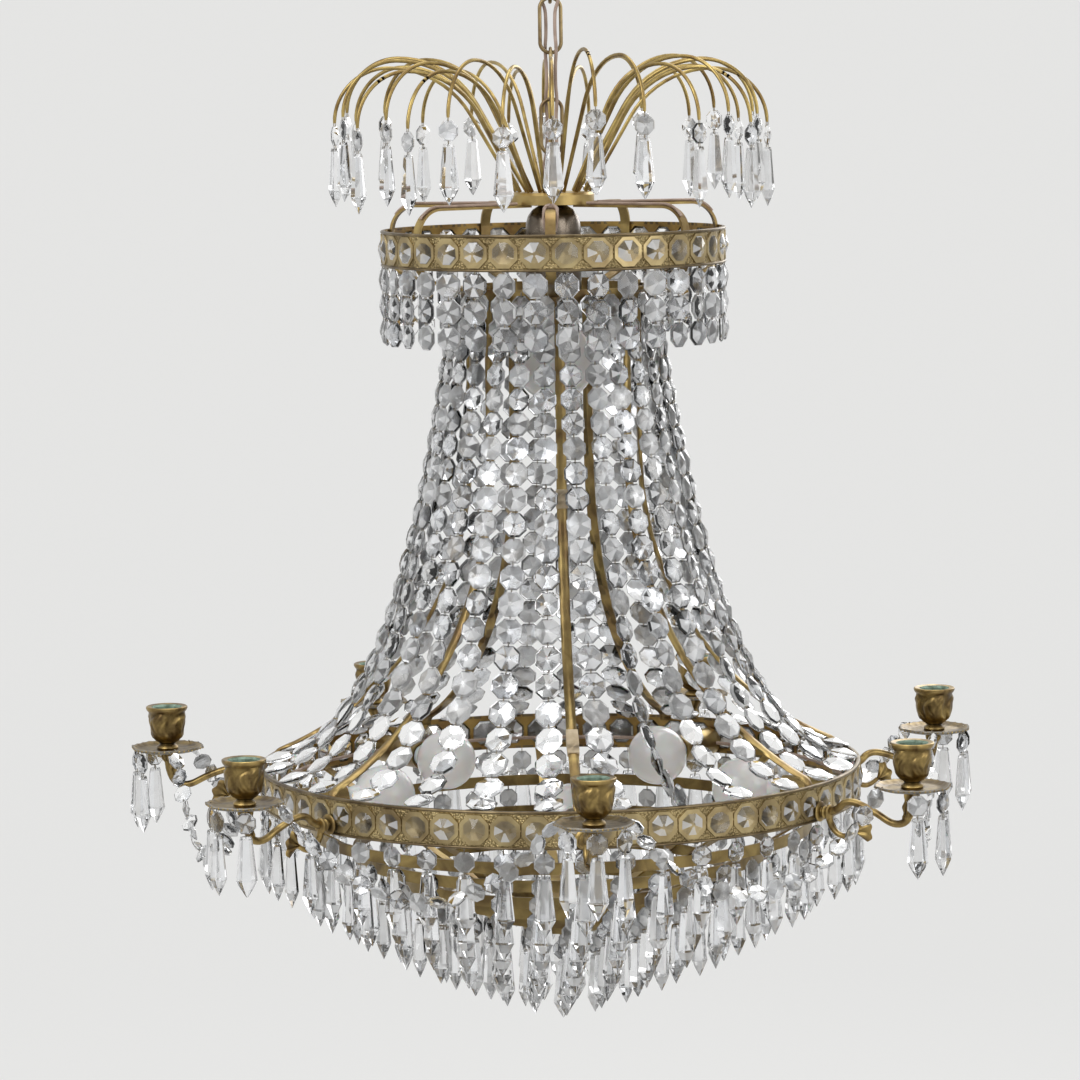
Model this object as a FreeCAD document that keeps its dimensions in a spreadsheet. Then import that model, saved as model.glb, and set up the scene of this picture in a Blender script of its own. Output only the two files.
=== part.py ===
import FreeCAD, Part
import math
import os
import re

import Sketcher

Vector = FreeCAD.Vector
Rotation = FreeCAD.Rotation
Placement = FreeCAD.Placement

# A crystal chandelier, hung by the top link of its chain. Millimetres, +Z up.
# The origin is where the ceiling hook bears on the inside of the top link. The front is towards -Y,
# and an azimuth is counted from the front towards +X.

UP = Vector(0, 0, 1)
INWARD = Vector(0, 1, 0)
OCTAGON = 8
ALL_ROUND = 360.0
QUARTER = 90.0

# Driving sizes: a name for the sheet, the size, and what it is.
SIZES = [
    ("wire_diameter", 3.0, "chain wire"),
    ("link_length", 46.0, "chain link, outside"),
    ("link_width", 19.6, "chain link, outside"),
    ("link_play", 0.3, "slack where one link hangs in the next"),
    ("fit_gap", 0.3, "clearance of a round or curved seat"),
    ("string_gap", 0.9, "space between two crystals on a string"),
    ("eye_diameter", 20.0, "round eye on the stem, outside"),
    ("stem_diameter", 8.0, "stem under the eye"),
    ("stem_length", 15.0, "stem from the eye's foot to the hub"),
    ("hub_radius", 33.0, "hub drum"),
    ("hub_height", 9.5, "hub drum"),
    ("spray_count", 28, "wires of the spray"),
    ("spray_foot_radius", 25.0, "where the spray wires leave the hub"),
    ("spray_foot_stagger", 4.0, "feet stand on two circles, this far in and out"),
    ("spray_rise_angle", 60.0, "slope of a spray wire at its foot, degrees"),
    ("spray_rise", 73.0, "straight rise of a spray wire"),
    ("spray_bend", 75.0, "radius of the bend over the top"),
    ("spray_fall_bend", 43.0, "radius of the bend down to the tip"),
    ("spray_tall_extra", 14.0, "extra rise of the one tall wire at the front"),
    ("spray_octagon", 16.6, "octagon at a spray tip"),
    ("cover_radius", 22.0, "bell cover of the top lamp"),
    ("cover_height", 74.0, "bell cover"),
    ("cover_wall", 1.2, "bell cover"),
    ("holder_radius", 17.5, "top lamp holder"),
    ("holder_height", 56.0, "top lamp holder"),
    ("cap_radius", 13.2, "screw cap of the large bulb"),
    ("cap_length", 30.0, "screw cap of the large bulb"),
    ("globe_radius", 32.0, "large opal bulb"),
    ("globe_drop", 157.0, "hub underside to the bottom of the large bulb"),
    ("section_count", 7, "sections of the rings, ribs, straps and arms"),
    ("crown_phase", -1.14, "azimuth of the first crown strap, degrees"),
    ("strap_width", 8.0, "crown and basket straps"),
    ("strap_thickness", 2.0, "crown straps"),
    ("strap_shoulder", 20.0, "upper bend of a crown strap"),
    ("strap_heel", 18.0, "lower bend of a crown strap"),
    ("strap_tail_slope", 75.3, "turn of the lower bend, degrees"),
    ("upper_ring_radius", 136.0, "upper ring, outside"),
    ("upper_ring_drop", 18.9, "hub underside to the top of the upper ring"),
    ("upper_ring_height", 28.4, "upper ring"),
    ("upper_windows", 5, "windows in a section of the upper ring"),
    ("band_wall", 2.0, "sheet of the rings"),
    ("rim_radius", 1.9, "half round rims along the rings"),
    ("window_size", 21.0, "octagonal windows, across the flats"),
    ("window_gap", 0.5, "space round a crystal in its window"),
    ("seam_gap", 0.2, "butt joint between two sections of a ring"),
    ("fringe_octagon", 19.6, "fringe crystals"),
    ("fringe_rows", 3, "crystals on a fringe string"),
    ("strand_ring_radius", 74.0, "strand ring, outside"),
    ("strand_ring_height", 11.0, "strand ring"),
    ("strand_ring_drop", 64.3, "hub underside to the top of the strand ring"),
    ("rib_width", 8.0, "ribs"),
    ("rib_thickness", 3.0, "ribs"),
    ("rib_phase", 3.0, "azimuth of the first rib, degrees"),
    ("rib_straight", 138.0, "upright part of a rib"),
    ("rib_foot_bend", 10.0, "bend of a rib down onto the lower ring"),
    ("screw_depth", 8.0, "strand ring's top down to the rib screws"),
    ("screw_radius", 2.6, "heads of the rib screws"),
    ("screw_head", 1.6, "heads of the rib screws"),
    ("shank_radius", 1.2, "shanks of the rib screws"),
    ("strand_count", 28, "crystal strands"),
    ("strand_crystals", 21, "octagons on a strand"),
    ("strand_top_pitch", 17.6, "spacing at the top of a strand"),
    ("strand_foot_pitch", 23.4, "spacing at the foot of a strand"),
    ("strand_stand_off", 6.5, "top of a strand, out from the strand ring"),
    ("strand_hang", 3.5, "strand ring's top down to the top of a strand"),
    ("strand_end", 1.5, "foot of a strand above the lower ring"),
    ("strand_top_phase", 0.6, "azimuth of the strands at the top, degrees"),
    ("strand_foot_phase", 4.0, "azimuth of the strands at the foot, degrees"),
    ("lower_ring_radius", 240.0, "lower ring, outside"),
    ("lower_ring_height", 29.3, "lower ring"),
    ("cage_height", 370.0, "foot of the strand ring to the top of the lower ring"),
    ("lower_windows", 9, "windows in a section of the lower ring"),
    ("lower_phase", 4.0, "azimuth of the first arm and seam, degrees"),
    ("drop_octagon", 16.4, "octagon above an icicle drop"),
    ("drop_length", 49.5, "icicle drop"),
    ("drop_width", 16.4, "icicle drop at its widest"),
    ("drop_thickness", 10.0, "icicle drop at its widest"),
    ("drop_shoulder", 0.77, "share of its length above the widest place"),
    ("lower_drops", 49, "drops on the lower ring"),
    ("tier_height", 9.0, "tier rings"),
    ("basket_strap_thickness", 1.5, "basket straps"),
    ("basket_strap_hook", 3.9, "lower ring's foot up to the end of a basket strap"),
    ("basket_disc_radius", 15.0, "centre disc of the basket"),
    ("arm_tube", 5.4, "tube of a candle arm"),
    ("arm_level", 21.0, "lower ring's top down to the arm's root"),
    ("arm_ball", 5.0, "radius of the arm's first collar"),
    ("arm_collar", 6.2, "radius of the arm's second collar"),
    ("arm_boss", 8.0, "radius of the boss beside the ring"),
    ("arm_shank", 1.5, "radius of the arm's shank through the ring"),
    ("nut_flats", 10.0, "arm nuts, across the flats"),
    ("nut_height", 3.1, "arm nuts"),
    ("cup_circle", 324.0, "radius of the circle of candle cups"),
    ("pan_radius", 28.0, "drip pans"),
    ("pan_wall", 1.6, "drip pans"),
    ("pan_lift", 7.4, "drip pan's rim above the lower ring's top"),
    ("pan_depth", 2.4, "drip pans, inside"),
    ("cup_height", 35.0, "candle cups"),
    ("cup_foot", 8.5, "radius of a candle cup's foot"),
    ("cup_belly", 13.2, "radius of a candle cup's belly"),
    ("cup_lip", 16.8, "radius of a candle cup's lip"),
    ("candle_radius", 11.0, "bore of a candle cup"),
    ("candle_depth", 25.0, "bore of a candle cup"),
    ("swag_octagon", 15.0, "crystals of the swags"),
    ("swag_crystals", 17, "crystals on a swag"),
    ("lamp_count", 5, "lamps inside the lower ring"),
    ("lamp_phase", 3.0, "azimuth of the first lamp, degrees"),
    ("lamp_level", 19.0, "lower ring's top down to the lamps"),
    ("sleeve_radius", 11.5, "lamp holders of the lower ring"),
    ("sleeve_length", 52.0, "lamp holders of the lower ring"),
    ("small_cap_radius", 9.6, "screw cap of a small bulb"),
    ("small_cap_length", 24.0, "screw cap of a small bulb"),
    ("small_globe_radius", 24.5, "small opal bulb"),
    ("small_neck", 8.0, "holder's mouth to the globe of a small bulb"),
    ("peg_radius", 1.6, "pegs between the lamp holders and the lower ring's rim"),
    ("peg_level", 1.9, "lower ring's foot up to the pegs"),
    ("flex_diameter", 2.8, "flex cords"),
]

# Tier rings of the basket: outside radius, bottom edge below the lower ring's, and drops.
TIERS = [
    (202.0, 26.1, 42),
    (168.0, 46.5, 35),
    (132.0, 67.0, 28),
    (96.0, 83.0, 21),
    (62.0, 96.5, 14),
    (32.0, 107.5, 7),
]

# Sizes and levels that follow from the driving ones. A level is a height, zero at the origin.
LEVELS = [
    ("link_step", "=link_length - 2 * wire_diameter - link_play"),
    ("eye_top", "=wire_diameter - 4 * link_step"),
    ("hub_top", "=eye_top - eye_diameter - stem_length"),
    ("hub_underside", "=hub_top - hub_height"),
    ("upper_ring_top", "=hub_underside - upper_ring_drop"),
    ("upper_ring_foot", "=upper_ring_top - upper_ring_height"),
    ("strand_ring_top", "=hub_underside - strand_ring_drop"),
    ("strand_ring_foot", "=strand_ring_top - strand_ring_height"),
    ("lower_ring_top", "=strand_ring_foot - cage_height"),
    ("lower_ring_foot", "=lower_ring_top - lower_ring_height"),
    ("lower_ring_inside", "=lower_ring_radius - band_wall"),
    ("pan_rim", "=lower_ring_top + pan_lift"),
    ("pan_floor", "=pan_rim - pan_depth"),
    ("pan_underside", "=pan_floor - pan_wall"),
    ("cup_rim", "=pan_floor + cup_height"),
    ("holder_top", "=hub_underside - cover_wall"),
    ("holder_mouth", "=holder_top - holder_height"),
    ("cap_bore", "=cap_radius + fit_gap"),
    ("globe_centre", "=hub_underside - globe_drop + globe_radius"),
    ("strap_circle", "=upper_ring_radius - band_wall - fit_gap - strap_thickness / 2"),
    ("rib_top_circle", "=strand_ring_radius - band_wall - fit_gap - rib_thickness / 2"),
    ("rib_foot_circle", "=lower_ring_inside - fit_gap - rib_thickness / 2"),
    ("arm_root", "=lower_ring_top - arm_level"),
    ("arm_seat", "=lower_ring_radius + rim_radius + fit_gap"),
    ("nut_seat", "=lower_ring_inside - fit_gap / 2"),
    ("lamp_axis", "=lower_ring_top - lamp_level"),
    ("lamp_back", "=rib_foot_circle - rib_thickness / 2 - fit_gap"),
]

document = FreeCAD.newDocument("chandelier")
sheet = document.addObject("Spreadsheet::Sheet", "Sizes")
ROWS = [(alias, str(given), note) for alias, given, note in SIZES]
ROWS += [(alias, rule, "follows") for alias, rule in LEVELS]
for row, (alias, given, note) in enumerate(ROWS, start=1):
    sheet.set("A%d" % row, note)
    sheet.set("B%d" % row, given)
    sheet.setAlias("B%d" % row, alias)
document.recompute()

nodes = []


def size(alias):
    """A driving size, read from the sheet."""
    return float(sheet.get(alias))


def count(alias):
    """A driving number of copies, read from the sheet."""
    return int(round(size(alias)))


def keep(label, item):
    """Labels a sub-part, lists it for export and returns it."""
    item.Label = label
    nodes.append(item)
    return item


def feature(label, shape):
    """A sub-part whose shape comes from functions."""
    item = document.addObject("Part::Feature", label)
    item.Shape = shape
    return keep(label, item)


def turned(shape, azimuth):
    """A copy of a shape drawn at azimuth 0 (towards -Y), turned to an azimuth."""
    copy = shape.copy()
    copy.rotate(Vector(), UP, azimuth)
    return copy


def all_round(shape, copies, phase):
    """Equal copies of a shape round the chandelier."""
    return [turned(shape, phase + ALL_ROUND * k / copies) for k in range(copies)]


def front(radius, height, side=0.0):
    """A point in the vertical plane of azimuth 0, or beside it."""
    return Vector(side, -radius, height)


# --- Paths ------------------------------------------------------------------------------------


class Trail:
    """Runs and tangent arcs in the vertical plane of azimuth 0. The heading is in degrees above the
    outward direction."""

    def __init__(self, radius, height, heading):
        self.at = (radius, height)
        self.heading = heading
        self.edges = []

    def point(self, at):
        return front(at[0], at[1])

    def run(self, length):
        turn = math.radians(self.heading)
        end = (self.at[0] + length * math.cos(turn), self.at[1] + length * math.sin(turn))
        self.edges.append(Part.LineSegment(self.point(self.at), self.point(end)).toShape())
        self.at = end
        return self

    def bend(self, radius, turn):
        """An arc that turns the heading, upwards where turn is positive."""
        side = math.copysign(QUARTER, turn)
        to_centre = math.radians(self.heading + side)
        centre = (
            self.at[0] + radius * math.cos(to_centre),
            self.at[1] + radius * math.sin(to_centre),
        )

        def on_arc(share):
            ray = math.radians(self.heading - side + turn * share)
            return (centre[0] + radius * math.cos(ray), centre[1] + radius * math.sin(ray))

        middle, end = on_arc(0.5), on_arc(1.0)
        arc = Part.Arc(self.point(self.at), self.point(middle), self.point(end))
        self.edges.append(arc.toShape())
        self.at = end
        self.heading += turn
        return self

    def wire(self):
        return Part.Wire(self.edges)


def smooth_wire(points, share=0.45):
    """Straight runs through points, joined by tangent arcs as large as the runs allow. Returns the
    wire and its smallest radius."""
    edges = []
    smallest = float("inf")
    start = points[0]
    for before, corner, after in zip(points, points[1:], points[2:]):
        a, b = before - corner, after - corner
        reach = share * min(a.Length, b.Length)
        half = (math.pi - a.getAngle(b)) / 2
        radius = reach / math.tan(half)
        smallest = min(smallest, radius)
        a.normalize()
        b.normalize()
        enter, leave = corner + a * reach, corner + b * reach
        inward = (a + b).normalize()
        middle = corner + inward * (radius / math.cos(half) - radius)
        edges.append(Part.LineSegment(start, enter).toShape())
        edges.append(Part.Arc(enter, middle, leave).toShape())
        start = leave
    edges.append(Part.LineSegment(start, points[-1]).toShape())
    return Part.Wire(edges), smallest


def tube(wire, diameter):
    """A round rod along a wire."""
    edge = wire.OrderedEdges[0]
    start = edge.valueAt(edge.FirstParameter)
    along = edge.tangentAt(edge.FirstParameter)
    ring = Part.Wire(Part.makeCircle(diameter / 2, start, along))
    return Part.Wire(wire.OrderedEdges).makePipeShell([ring], True, False)


def strip(wire, thickness, width):
    """A flat strip along a wire in the vertical plane of azimuth 0, with its width across it."""
    edge = wire.OrderedEdges[0]
    start = edge.valueAt(edge.FirstParameter)
    along = edge.tangentAt(edge.FirstParameter)
    across = Vector(1, 0, 0)
    normal = along.cross(across)
    corners = [
        start + across * (width / 2 * i) + normal * (thickness / 2 * j)
        for i, j in ((-1, -1), (1, -1), (1, 1), (-1, 1), (-1, -1))
    ]
    return Part.Wire(wire.OrderedEdges).makePipeShell([Part.makePolygon(corners)], True, False)


class Hang:
    """A string of a given length hung between two heights: a catenary."""

    def __init__(self, span, rise, length):
        wanted = math.sqrt(length**2 - rise**2) / span
        low, high = 1e-6, 20.0
        for _ in range(80):
            middle = (low + high) / 2
            if math.sinh(middle) / middle < wanted:
                low = middle
            else:
                high = middle
        self.scale = span / (2 * low)
        self.bottom = span / 2 - self.scale * math.atanh(rise / length)
        self.start = math.sinh(-self.bottom / self.scale)

    def place(self, along):
        """Across, height and slope (radians) at a distance along the string."""
        swing = math.asinh(along / self.scale + self.start)
        across = self.bottom + self.scale * swing
        height = self.scale * (math.cosh(swing) - math.cosh(-self.bottom / self.scale))
        return across, height, math.atan(math.sinh(swing))


# --- Crystals ---------------------------------------------------------------------------------


def faceted(rings, apex=None):
    """A closed solid of flat facets through rings of points, ending in an apex where given."""
    faces = [Part.Face(Part.makePolygon(list(reversed(rings[0])) + [rings[0][-1]]))]
    for ring, following in zip(rings, rings[1:]):
        for i in range(len(ring)):
            j = (i + 1) % len(ring)
            loop = [ring[i], ring[j], following[j], following[i], ring[i]]
            faces.append(Part.Face(Part.makePolygon(loop)))
    last = rings[-1]
    if apex is None:
        faces.append(Part.Face(Part.makePolygon(last + [last[0]])))
    else:
        for i in range(len(last)):
            faces.append(Part.Face(Part.makePolygon([last[i], last[(i + 1) % len(last)], apex, last[i]])))
    return Part.Solid(Part.Shell(faces))


TABLE_SHARE = 0.34
DEPTH_SHARE = 0.40


def octagon(across):
    """A cut octagon, flats up and down, lying in the XZ plane about the origin."""
    corner = across / 2 / math.cos(math.pi / OCTAGON)
    depth = across * DEPTH_SHARE / 2

    def loop(radius, y):
        angles = [math.pi * (2 * i + 1) / OCTAGON for i in range(OCTAGON)]
        return [Vector(radius * math.cos(a), y, radius * math.sin(a)) for a in angles]

    return faceted([loop(corner * TABLE_SHARE, depth), loop(corner, 0), loop(corner * TABLE_SHARE, -depth)])


HEXAGON = ((1, 0), (0.5, 1), (-0.5, 1), (-1, 0), (-0.5, -1), (0.5, -1))
COLLAR_SHARE = 0.5


def icicle():
    """An icicle drop, its top at the origin and its point below."""
    length, width, thickness = size("drop_length"), size("drop_width"), size("drop_thickness")

    def loop(share, z):
        return [Vector(share * width / 2 * x, share * thickness / 2 * y, z) for x, y in HEXAGON]

    widest = -length * size("drop_shoulder")
    return faceted([loop(COLLAR_SHARE, 0), loop(1, widest)], Vector(0, 0, -length))


def hung(across):
    """An octagon and an icicle drop below it, hung from the origin."""
    gap = size("string_gap")
    top = octagon(across)
    top.translate(Vector(0, 0, -gap - across / 2))
    drop = icicle()
    drop.translate(Vector(0, 0, -2 * gap - across))
    return [top, drop]


def drops_round(radius, height, copies, across, phase):
    """Drops at equal steps round a ring."""
    made = []
    for piece in hung(across):
        piece.translate(front(radius, height))
        made += all_round(piece, copies, phase)
    return made


# --- Turned pieces ----------------------------------------------------------------------------


def origin_plane(body, role):
    """A named plane of a body's own origin."""
    return next(f for f in body.Origin.OriginFeatures if f.Role == role)


def turned_body(label, points, centre=None, copies=1, phase=0.0):
    """A body turned about a vertical axis. Points are (radius, height) pairs of expressions over the
    sheet. With a centre, an expression, the axis stands that far out and copies are set all round."""
    body = document.addObject("PartDesign::Body", label)
    body.AllowCompound = True
    sketch = body.newObject("Sketcher::SketchObject", label + "_profile")
    sketch.AttachmentSupport = [(origin_plane(body, "XZ_Plane"), "")]
    sketch.MapMode = "FlatFace"
    axis_at = "0" if centre is None else centre
    across = ["%s + %s" % (axis_at, r) for r, _ in points]
    up = [z for _, z in points]
    guesses = [(value(a), value(u)) for a, u in zip(across, up)]
    total = len(points)
    for i in range(total):
        a, b = guesses[i], guesses[(i + 1) % total]
        sketch.addGeometry(Part.LineSegment(Vector(*a, 0), Vector(*b, 0)), False)
    for i in range(total):
        sketch.addConstraint(Sketcher.Constraint("Coincident", i, 2, (i + 1) % total, 1))
    for i in range(total):
        for kind, guess, rule in (("DistanceX", 0, across[i]), ("DistanceY", 1, up[i])):
            made = sketch.addConstraint(Sketcher.Constraint(kind, -1, 1, i, 1, guesses[i][guess]))
            sketch.setExpression("Constraints[%d]" % made, bound(rule))
    if centre is None:
        axis = (sketch, ["V_Axis"])
    else:
        out = value(centre)
        line = sketch.addGeometry(Part.LineSegment(Vector(out, 0, 0), Vector(out, 10, 0)), True)
        foot = sketch.addConstraint(Sketcher.Constraint("DistanceX", -1, 1, line, 1, out))
        sketch.setExpression("Constraints[%d]" % foot, bound(centre))
        sketch.addConstraint(Sketcher.Constraint("Vertical", line))
        axis = (sketch, ["Axis0"])
    turn = body.newObject("PartDesign::Revolution", label + "_turned")
    turn.Profile = sketch
    turn.ReferenceAxis = axis
    turn.Angle = ALL_ROUND
    if copies > 1:
        document.recompute()
        ring = body.newObject("PartDesign::PolarPattern", label + "_round")
        ring.Originals = [turn]
        ring.Axis = (sketch, ["V_Axis"])
        ring.Angle = ALL_ROUND
        ring.Occurrences = copies
        body.Tip = ring
    body.Placement = Placement(Vector(), Rotation(UP, phase - QUARTER))
    return keep(label, body)


def bound(rule):
    """A rule over the sheet's names, as a property of another object reads it."""
    names = {alias for alias, _, _ in ROWS}
    return re.sub("[a-z_]+", lambda m: "Sizes." + m.group() if m.group() in names else m.group(), rule)


def value(rule):
    """What a rule over the sheet's names comes to."""
    return float(sheet.evalExpression(rule))


def primitive(kind, label, **rules):
    """A Part primitive whose sizes are bound to the sheet. A rule for z lifts it."""
    item = document.addObject("Part::" + kind, label)
    for name, rule in rules.items():
        item.setExpression("Placement.Base.z" if name == "z" else name, bound(rule))
    return item


def boolean(kind, label, base, tool):
    """A cut of one object by another."""
    item = document.addObject("Part::" + kind, label)
    item.Base, item.Tool = base, tool
    return item


def hoop_blank(label, radius, foot, height):
    """A flat ring standing on edge. Radius, foot and height are rules over the sheet."""
    outside = primitive("Cylinder", label + "_outside", Radius=radius, Height=height, z=foot)
    inside = primitive("Cylinder", label + "_inside", Radius="%s - band_wall" % radius, Height=height, z=foot)
    return boolean("Cut", label + "_blank", outside, inside)


# --- Chain and supply -------------------------------------------------------------------------

LINKS = 4


def chain_link(index):
    """An oval link. Odd ones, counted from 1, are seen edge-on from the front."""
    wire = size("wire_diameter")
    bend = (size("link_width") - wire) / 2
    leg = size("link_length") - wire - 2 * bend
    top = wire - (index - 1) * size("link_step") - wire / 2 - bend
    trail = Trail(-bend, top, -QUARTER).run(leg).bend(bend, QUARTER * 2)
    trail.run(leg).bend(bend, QUARTER * 2)
    shape = tube(trail.wire(), wire)
    shape = Part.Solid(Part.Shell(shape.Faces))
    if index % 2 == 0:
        shape.rotate(Vector(), UP, QUARTER)
    return shape


def stem_eye():
    """The round eye that hangs in the last link, on its stem."""
    wire, outside = size("wire_diameter"), size("eye_diameter")
    centre = Vector(0, 0, size("eye_top") - outside / 2)
    ring = Part.makeTorus((outside - wire) / 2, wire / 2, centre, Vector(1, 0, 0))
    length = size("stem_length") + wire / 2
    stem = Part.makeCylinder(size("stem_diameter") / 2, length, Vector(0, 0, size("hub_top")))
    return ring.fuse(stem)


TERMINAL = Vector(8, 8, 14)
TERMINAL_CORNER = 1.0
TERMINAL_AT = Vector(5.8, -3.4, -19.0)
CORD_SIDE = 3.5
CORD_HUB_SIDE = 6.0
CORD_SWELL = 0.9


def terminal():
    """A connector on the top end of a cord, beside the top link."""
    block = Part.makeBox(TERMINAL.x, TERMINAL.y, TERMINAL.z, TERMINAL_AT - TERMINAL / 2)
    return block.makeFillet(TERMINAL_CORNER, block.Edges)


def cord_route(span):
    """The middle line of one cord between two link middles, or from its terminal, or to the hub."""
    middle = size("wire_diameter") - size("link_length") / 2
    step = size("link_step")
    top = TERMINAL_AT.z - TERMINAL.z / 2 if span == 1 else middle - (span - 1) * step
    foot = size("hub_top") if span == LINKS else middle - span * step
    start = Vector(TERMINAL_AT.x, TERMINAL_AT.y, top) if span == 1 else Vector(CORD_SIDE, -CORD_SIDE, top)
    side = CORD_HUB_SIDE if span == LINKS else CORD_SIDE
    end = Vector(side, -side, foot)
    shares = (0.2, 0.42, 0.61, 0.8)
    swells = (0.0, CORD_SWELL, CORD_SWELL * 0.7, 0.0)
    sides = (start, start, end, end)
    between = [
        Vector(at.x + swell, at.y - swell, top + (foot - top) * share)
        for at, share, swell in zip(sides, shares, swells)
    ]
    return [start] + between + [end]


def cord_span(span):
    """Both cords over one span of the chain, one on each side."""
    wire, radius = smooth_wire(cord_route(span))
    print("cord span %d: smallest radius %.1f" % (span, radius))
    solid = tube(wire, size("flex_diameter"))
    other = solid.copy()
    other.rotate(Vector(), UP, 2 * QUARTER)
    return Part.makeCompound([solid, other])


for link in range(1, LINKS + 1):
    feature("chain_link_%d" % link, chain_link(link))
    feature("supply_cord_%d" % link, cord_span(link))
feature("stem_eye", stem_eye())
block = terminal()
feature("cord_terminals", Part.makeCompound([block, turned(block, 2 * QUARTER)]))

# --- Hub and spray ----------------------------------------------------------------------------

HUB_STEP = 2.0
turned_body(
    "spray_hub",
    [
        ("0", "hub_top"),
        ("hub_radius - %s" % HUB_STEP, "hub_top"),
        ("hub_radius", "hub_top - %s" % HUB_STEP),
        ("hub_radius", "hub_underside"),
        ("0", "hub_underside"),
    ],
)

TALL_WIRE = 1
SPRAY_SWAY = 2.6
SPRAY_REACH_SWAY = 2.5


def spray_wire(index):
    """The trail of one spray wire and its azimuth. No two wires are quite alike."""
    slope = size("spray_rise_angle")
    stagger = size("spray_foot_stagger") * (1 if index % 2 else -1)
    rise = size("spray_rise") - stagger + SPRAY_REACH_SWAY * math.sin(7.0 * index)
    if index == TALL_WIRE:
        rise += size("spray_tall_extra")
    lift = size("wire_diameter") / 2 * math.cos(math.radians(slope))
    trail = Trail(size("spray_foot_radius") + stagger, size("hub_top") + lift, slope)
    trail.run(rise).bend(size("spray_bend"), -slope).bend(size("spray_fall_bend"), -QUARTER)
    azimuth = ALL_ROUND * index / count("spray_count") + SPRAY_SWAY * math.sin(5.0 * index)
    return trail, azimuth


wires, tips = [], []
for index in range(count("spray_count")):
    trail, azimuth = spray_wire(index)
    wires.append(turned(tube(trail.wire(), size("wire_diameter")), azimuth))
    for piece in hung(size("spray_octagon")):
        piece.translate(front(*trail.at))
        tips.append(turned(piece, azimuth))
feature("spray_wires", Part.makeCompound(wires))
feature("spray_crystals", Part.makeCompound(tips))

# --- Top lamp ---------------------------------------------------------------------------------

turned_body(
    "lamp_cover",
    [
        ("0", "hub_underside"),
        ("cover_radius * 0.64", "hub_underside"),
        ("cover_radius * 0.9", "hub_underside - cover_radius * 0.3"),
        ("cover_radius", "hub_underside - cover_radius * 0.75"),
        ("cover_radius", "hub_underside - cover_height"),
        ("cover_radius - cover_wall", "hub_underside - cover_height"),
        ("cover_radius - cover_wall", "hub_underside - cover_radius * 0.75 - cover_wall / 2"),
        ("cover_radius * 0.9 - cover_wall", "hub_underside - cover_radius * 0.3 - cover_wall / 2"),
        ("cover_radius * 0.64 - cover_wall", "hub_underside - cover_wall"),
        ("0", "hub_underside - cover_wall"),
    ],
)
turned_body(
    "top_lamp_holder",
    [
        ("0", "holder_top"),
        ("cover_radius * 0.5", "holder_top"),
        ("cover_radius * 0.5", "holder_top - cover_radius * 0.75"),
        ("holder_radius", "holder_top - cover_radius"),
        ("holder_radius", "holder_mouth"),
        ("cap_bore", "holder_mouth"),
        ("cap_bore", "holder_mouth + cap_length"),
        ("0", "holder_mouth + cap_length"),
    ],
)


def bulb(label, cap, length, globe, mouth, centre):
    """A bulb on the vertical axis, its cap in a holder's mouth and its globe below. All are rules."""
    body = primitive("Cylinder", label + "_cap", Radius=cap, Height=length, z="%s - fit_gap" % mouth)
    shoulder = "%s + %s / sqrt(2)" % (centre, globe)
    neck = primitive(
        "Cone",
        label + "_neck",
        Radius1="%s / sqrt(2)" % globe,
        Radius2=cap,
        Height="%s - fit_gap - (%s)" % (mouth, shoulder),
        z=shoulder,
    )
    ball = primitive("Sphere", label + "_globe", Radius=globe, z=centre)
    item = document.addObject("Part::MultiFuse", label)
    item.Shapes = [body, neck, ball]
    return keep(label, item)


bulb("top_bulb", "cap_radius", "cap_length", "globe_radius", "holder_mouth", "globe_centre")

# --- Crown straps and upper ring --------------------------------------------------------------

STRAP_FOOT_RADIUS = 24.0
STRAP_UPRIGHT = 18.7
sections = count("section_count")
section_angle = ALL_ROUND / sections


def crown_trail(inset=0.0):
    """The middle line of a crown strap, or a line inset from it inside the strap's bow."""
    shoulder, heel = size("strap_shoulder"), size("strap_heel")
    level = size("hub_underside") - size("strap_thickness") / 2 - inset
    trail = Trail(STRAP_FOOT_RADIUS, level, 0.0)
    trail.run(size("strap_circle") - shoulder - STRAP_FOOT_RADIUS)
    trail.bend(shoulder - inset, -QUARTER).run(STRAP_UPRIGHT)
    trail.bend(heel - inset, -size("strap_tail_slope"))
    to_ring = trail.at[0] - size("strand_ring_radius") - size("fit_gap") - inset
    return trail.run(to_ring / math.sin(math.radians(size("strap_tail_slope"))))


strap = strip(crown_trail().wire(), size("strap_thickness"), size("strap_width"))
feature("crown_straps", Part.makeCompound(all_round(strap, sections, size("crown_phase"))))


def bore(radius, inside, outside, height):
    """A round tool along the radius at azimuth 0, for a hole between two circles."""
    return Part.makeCylinder(radius, outside - inside, front(inside, height), -INWARD)


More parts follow.
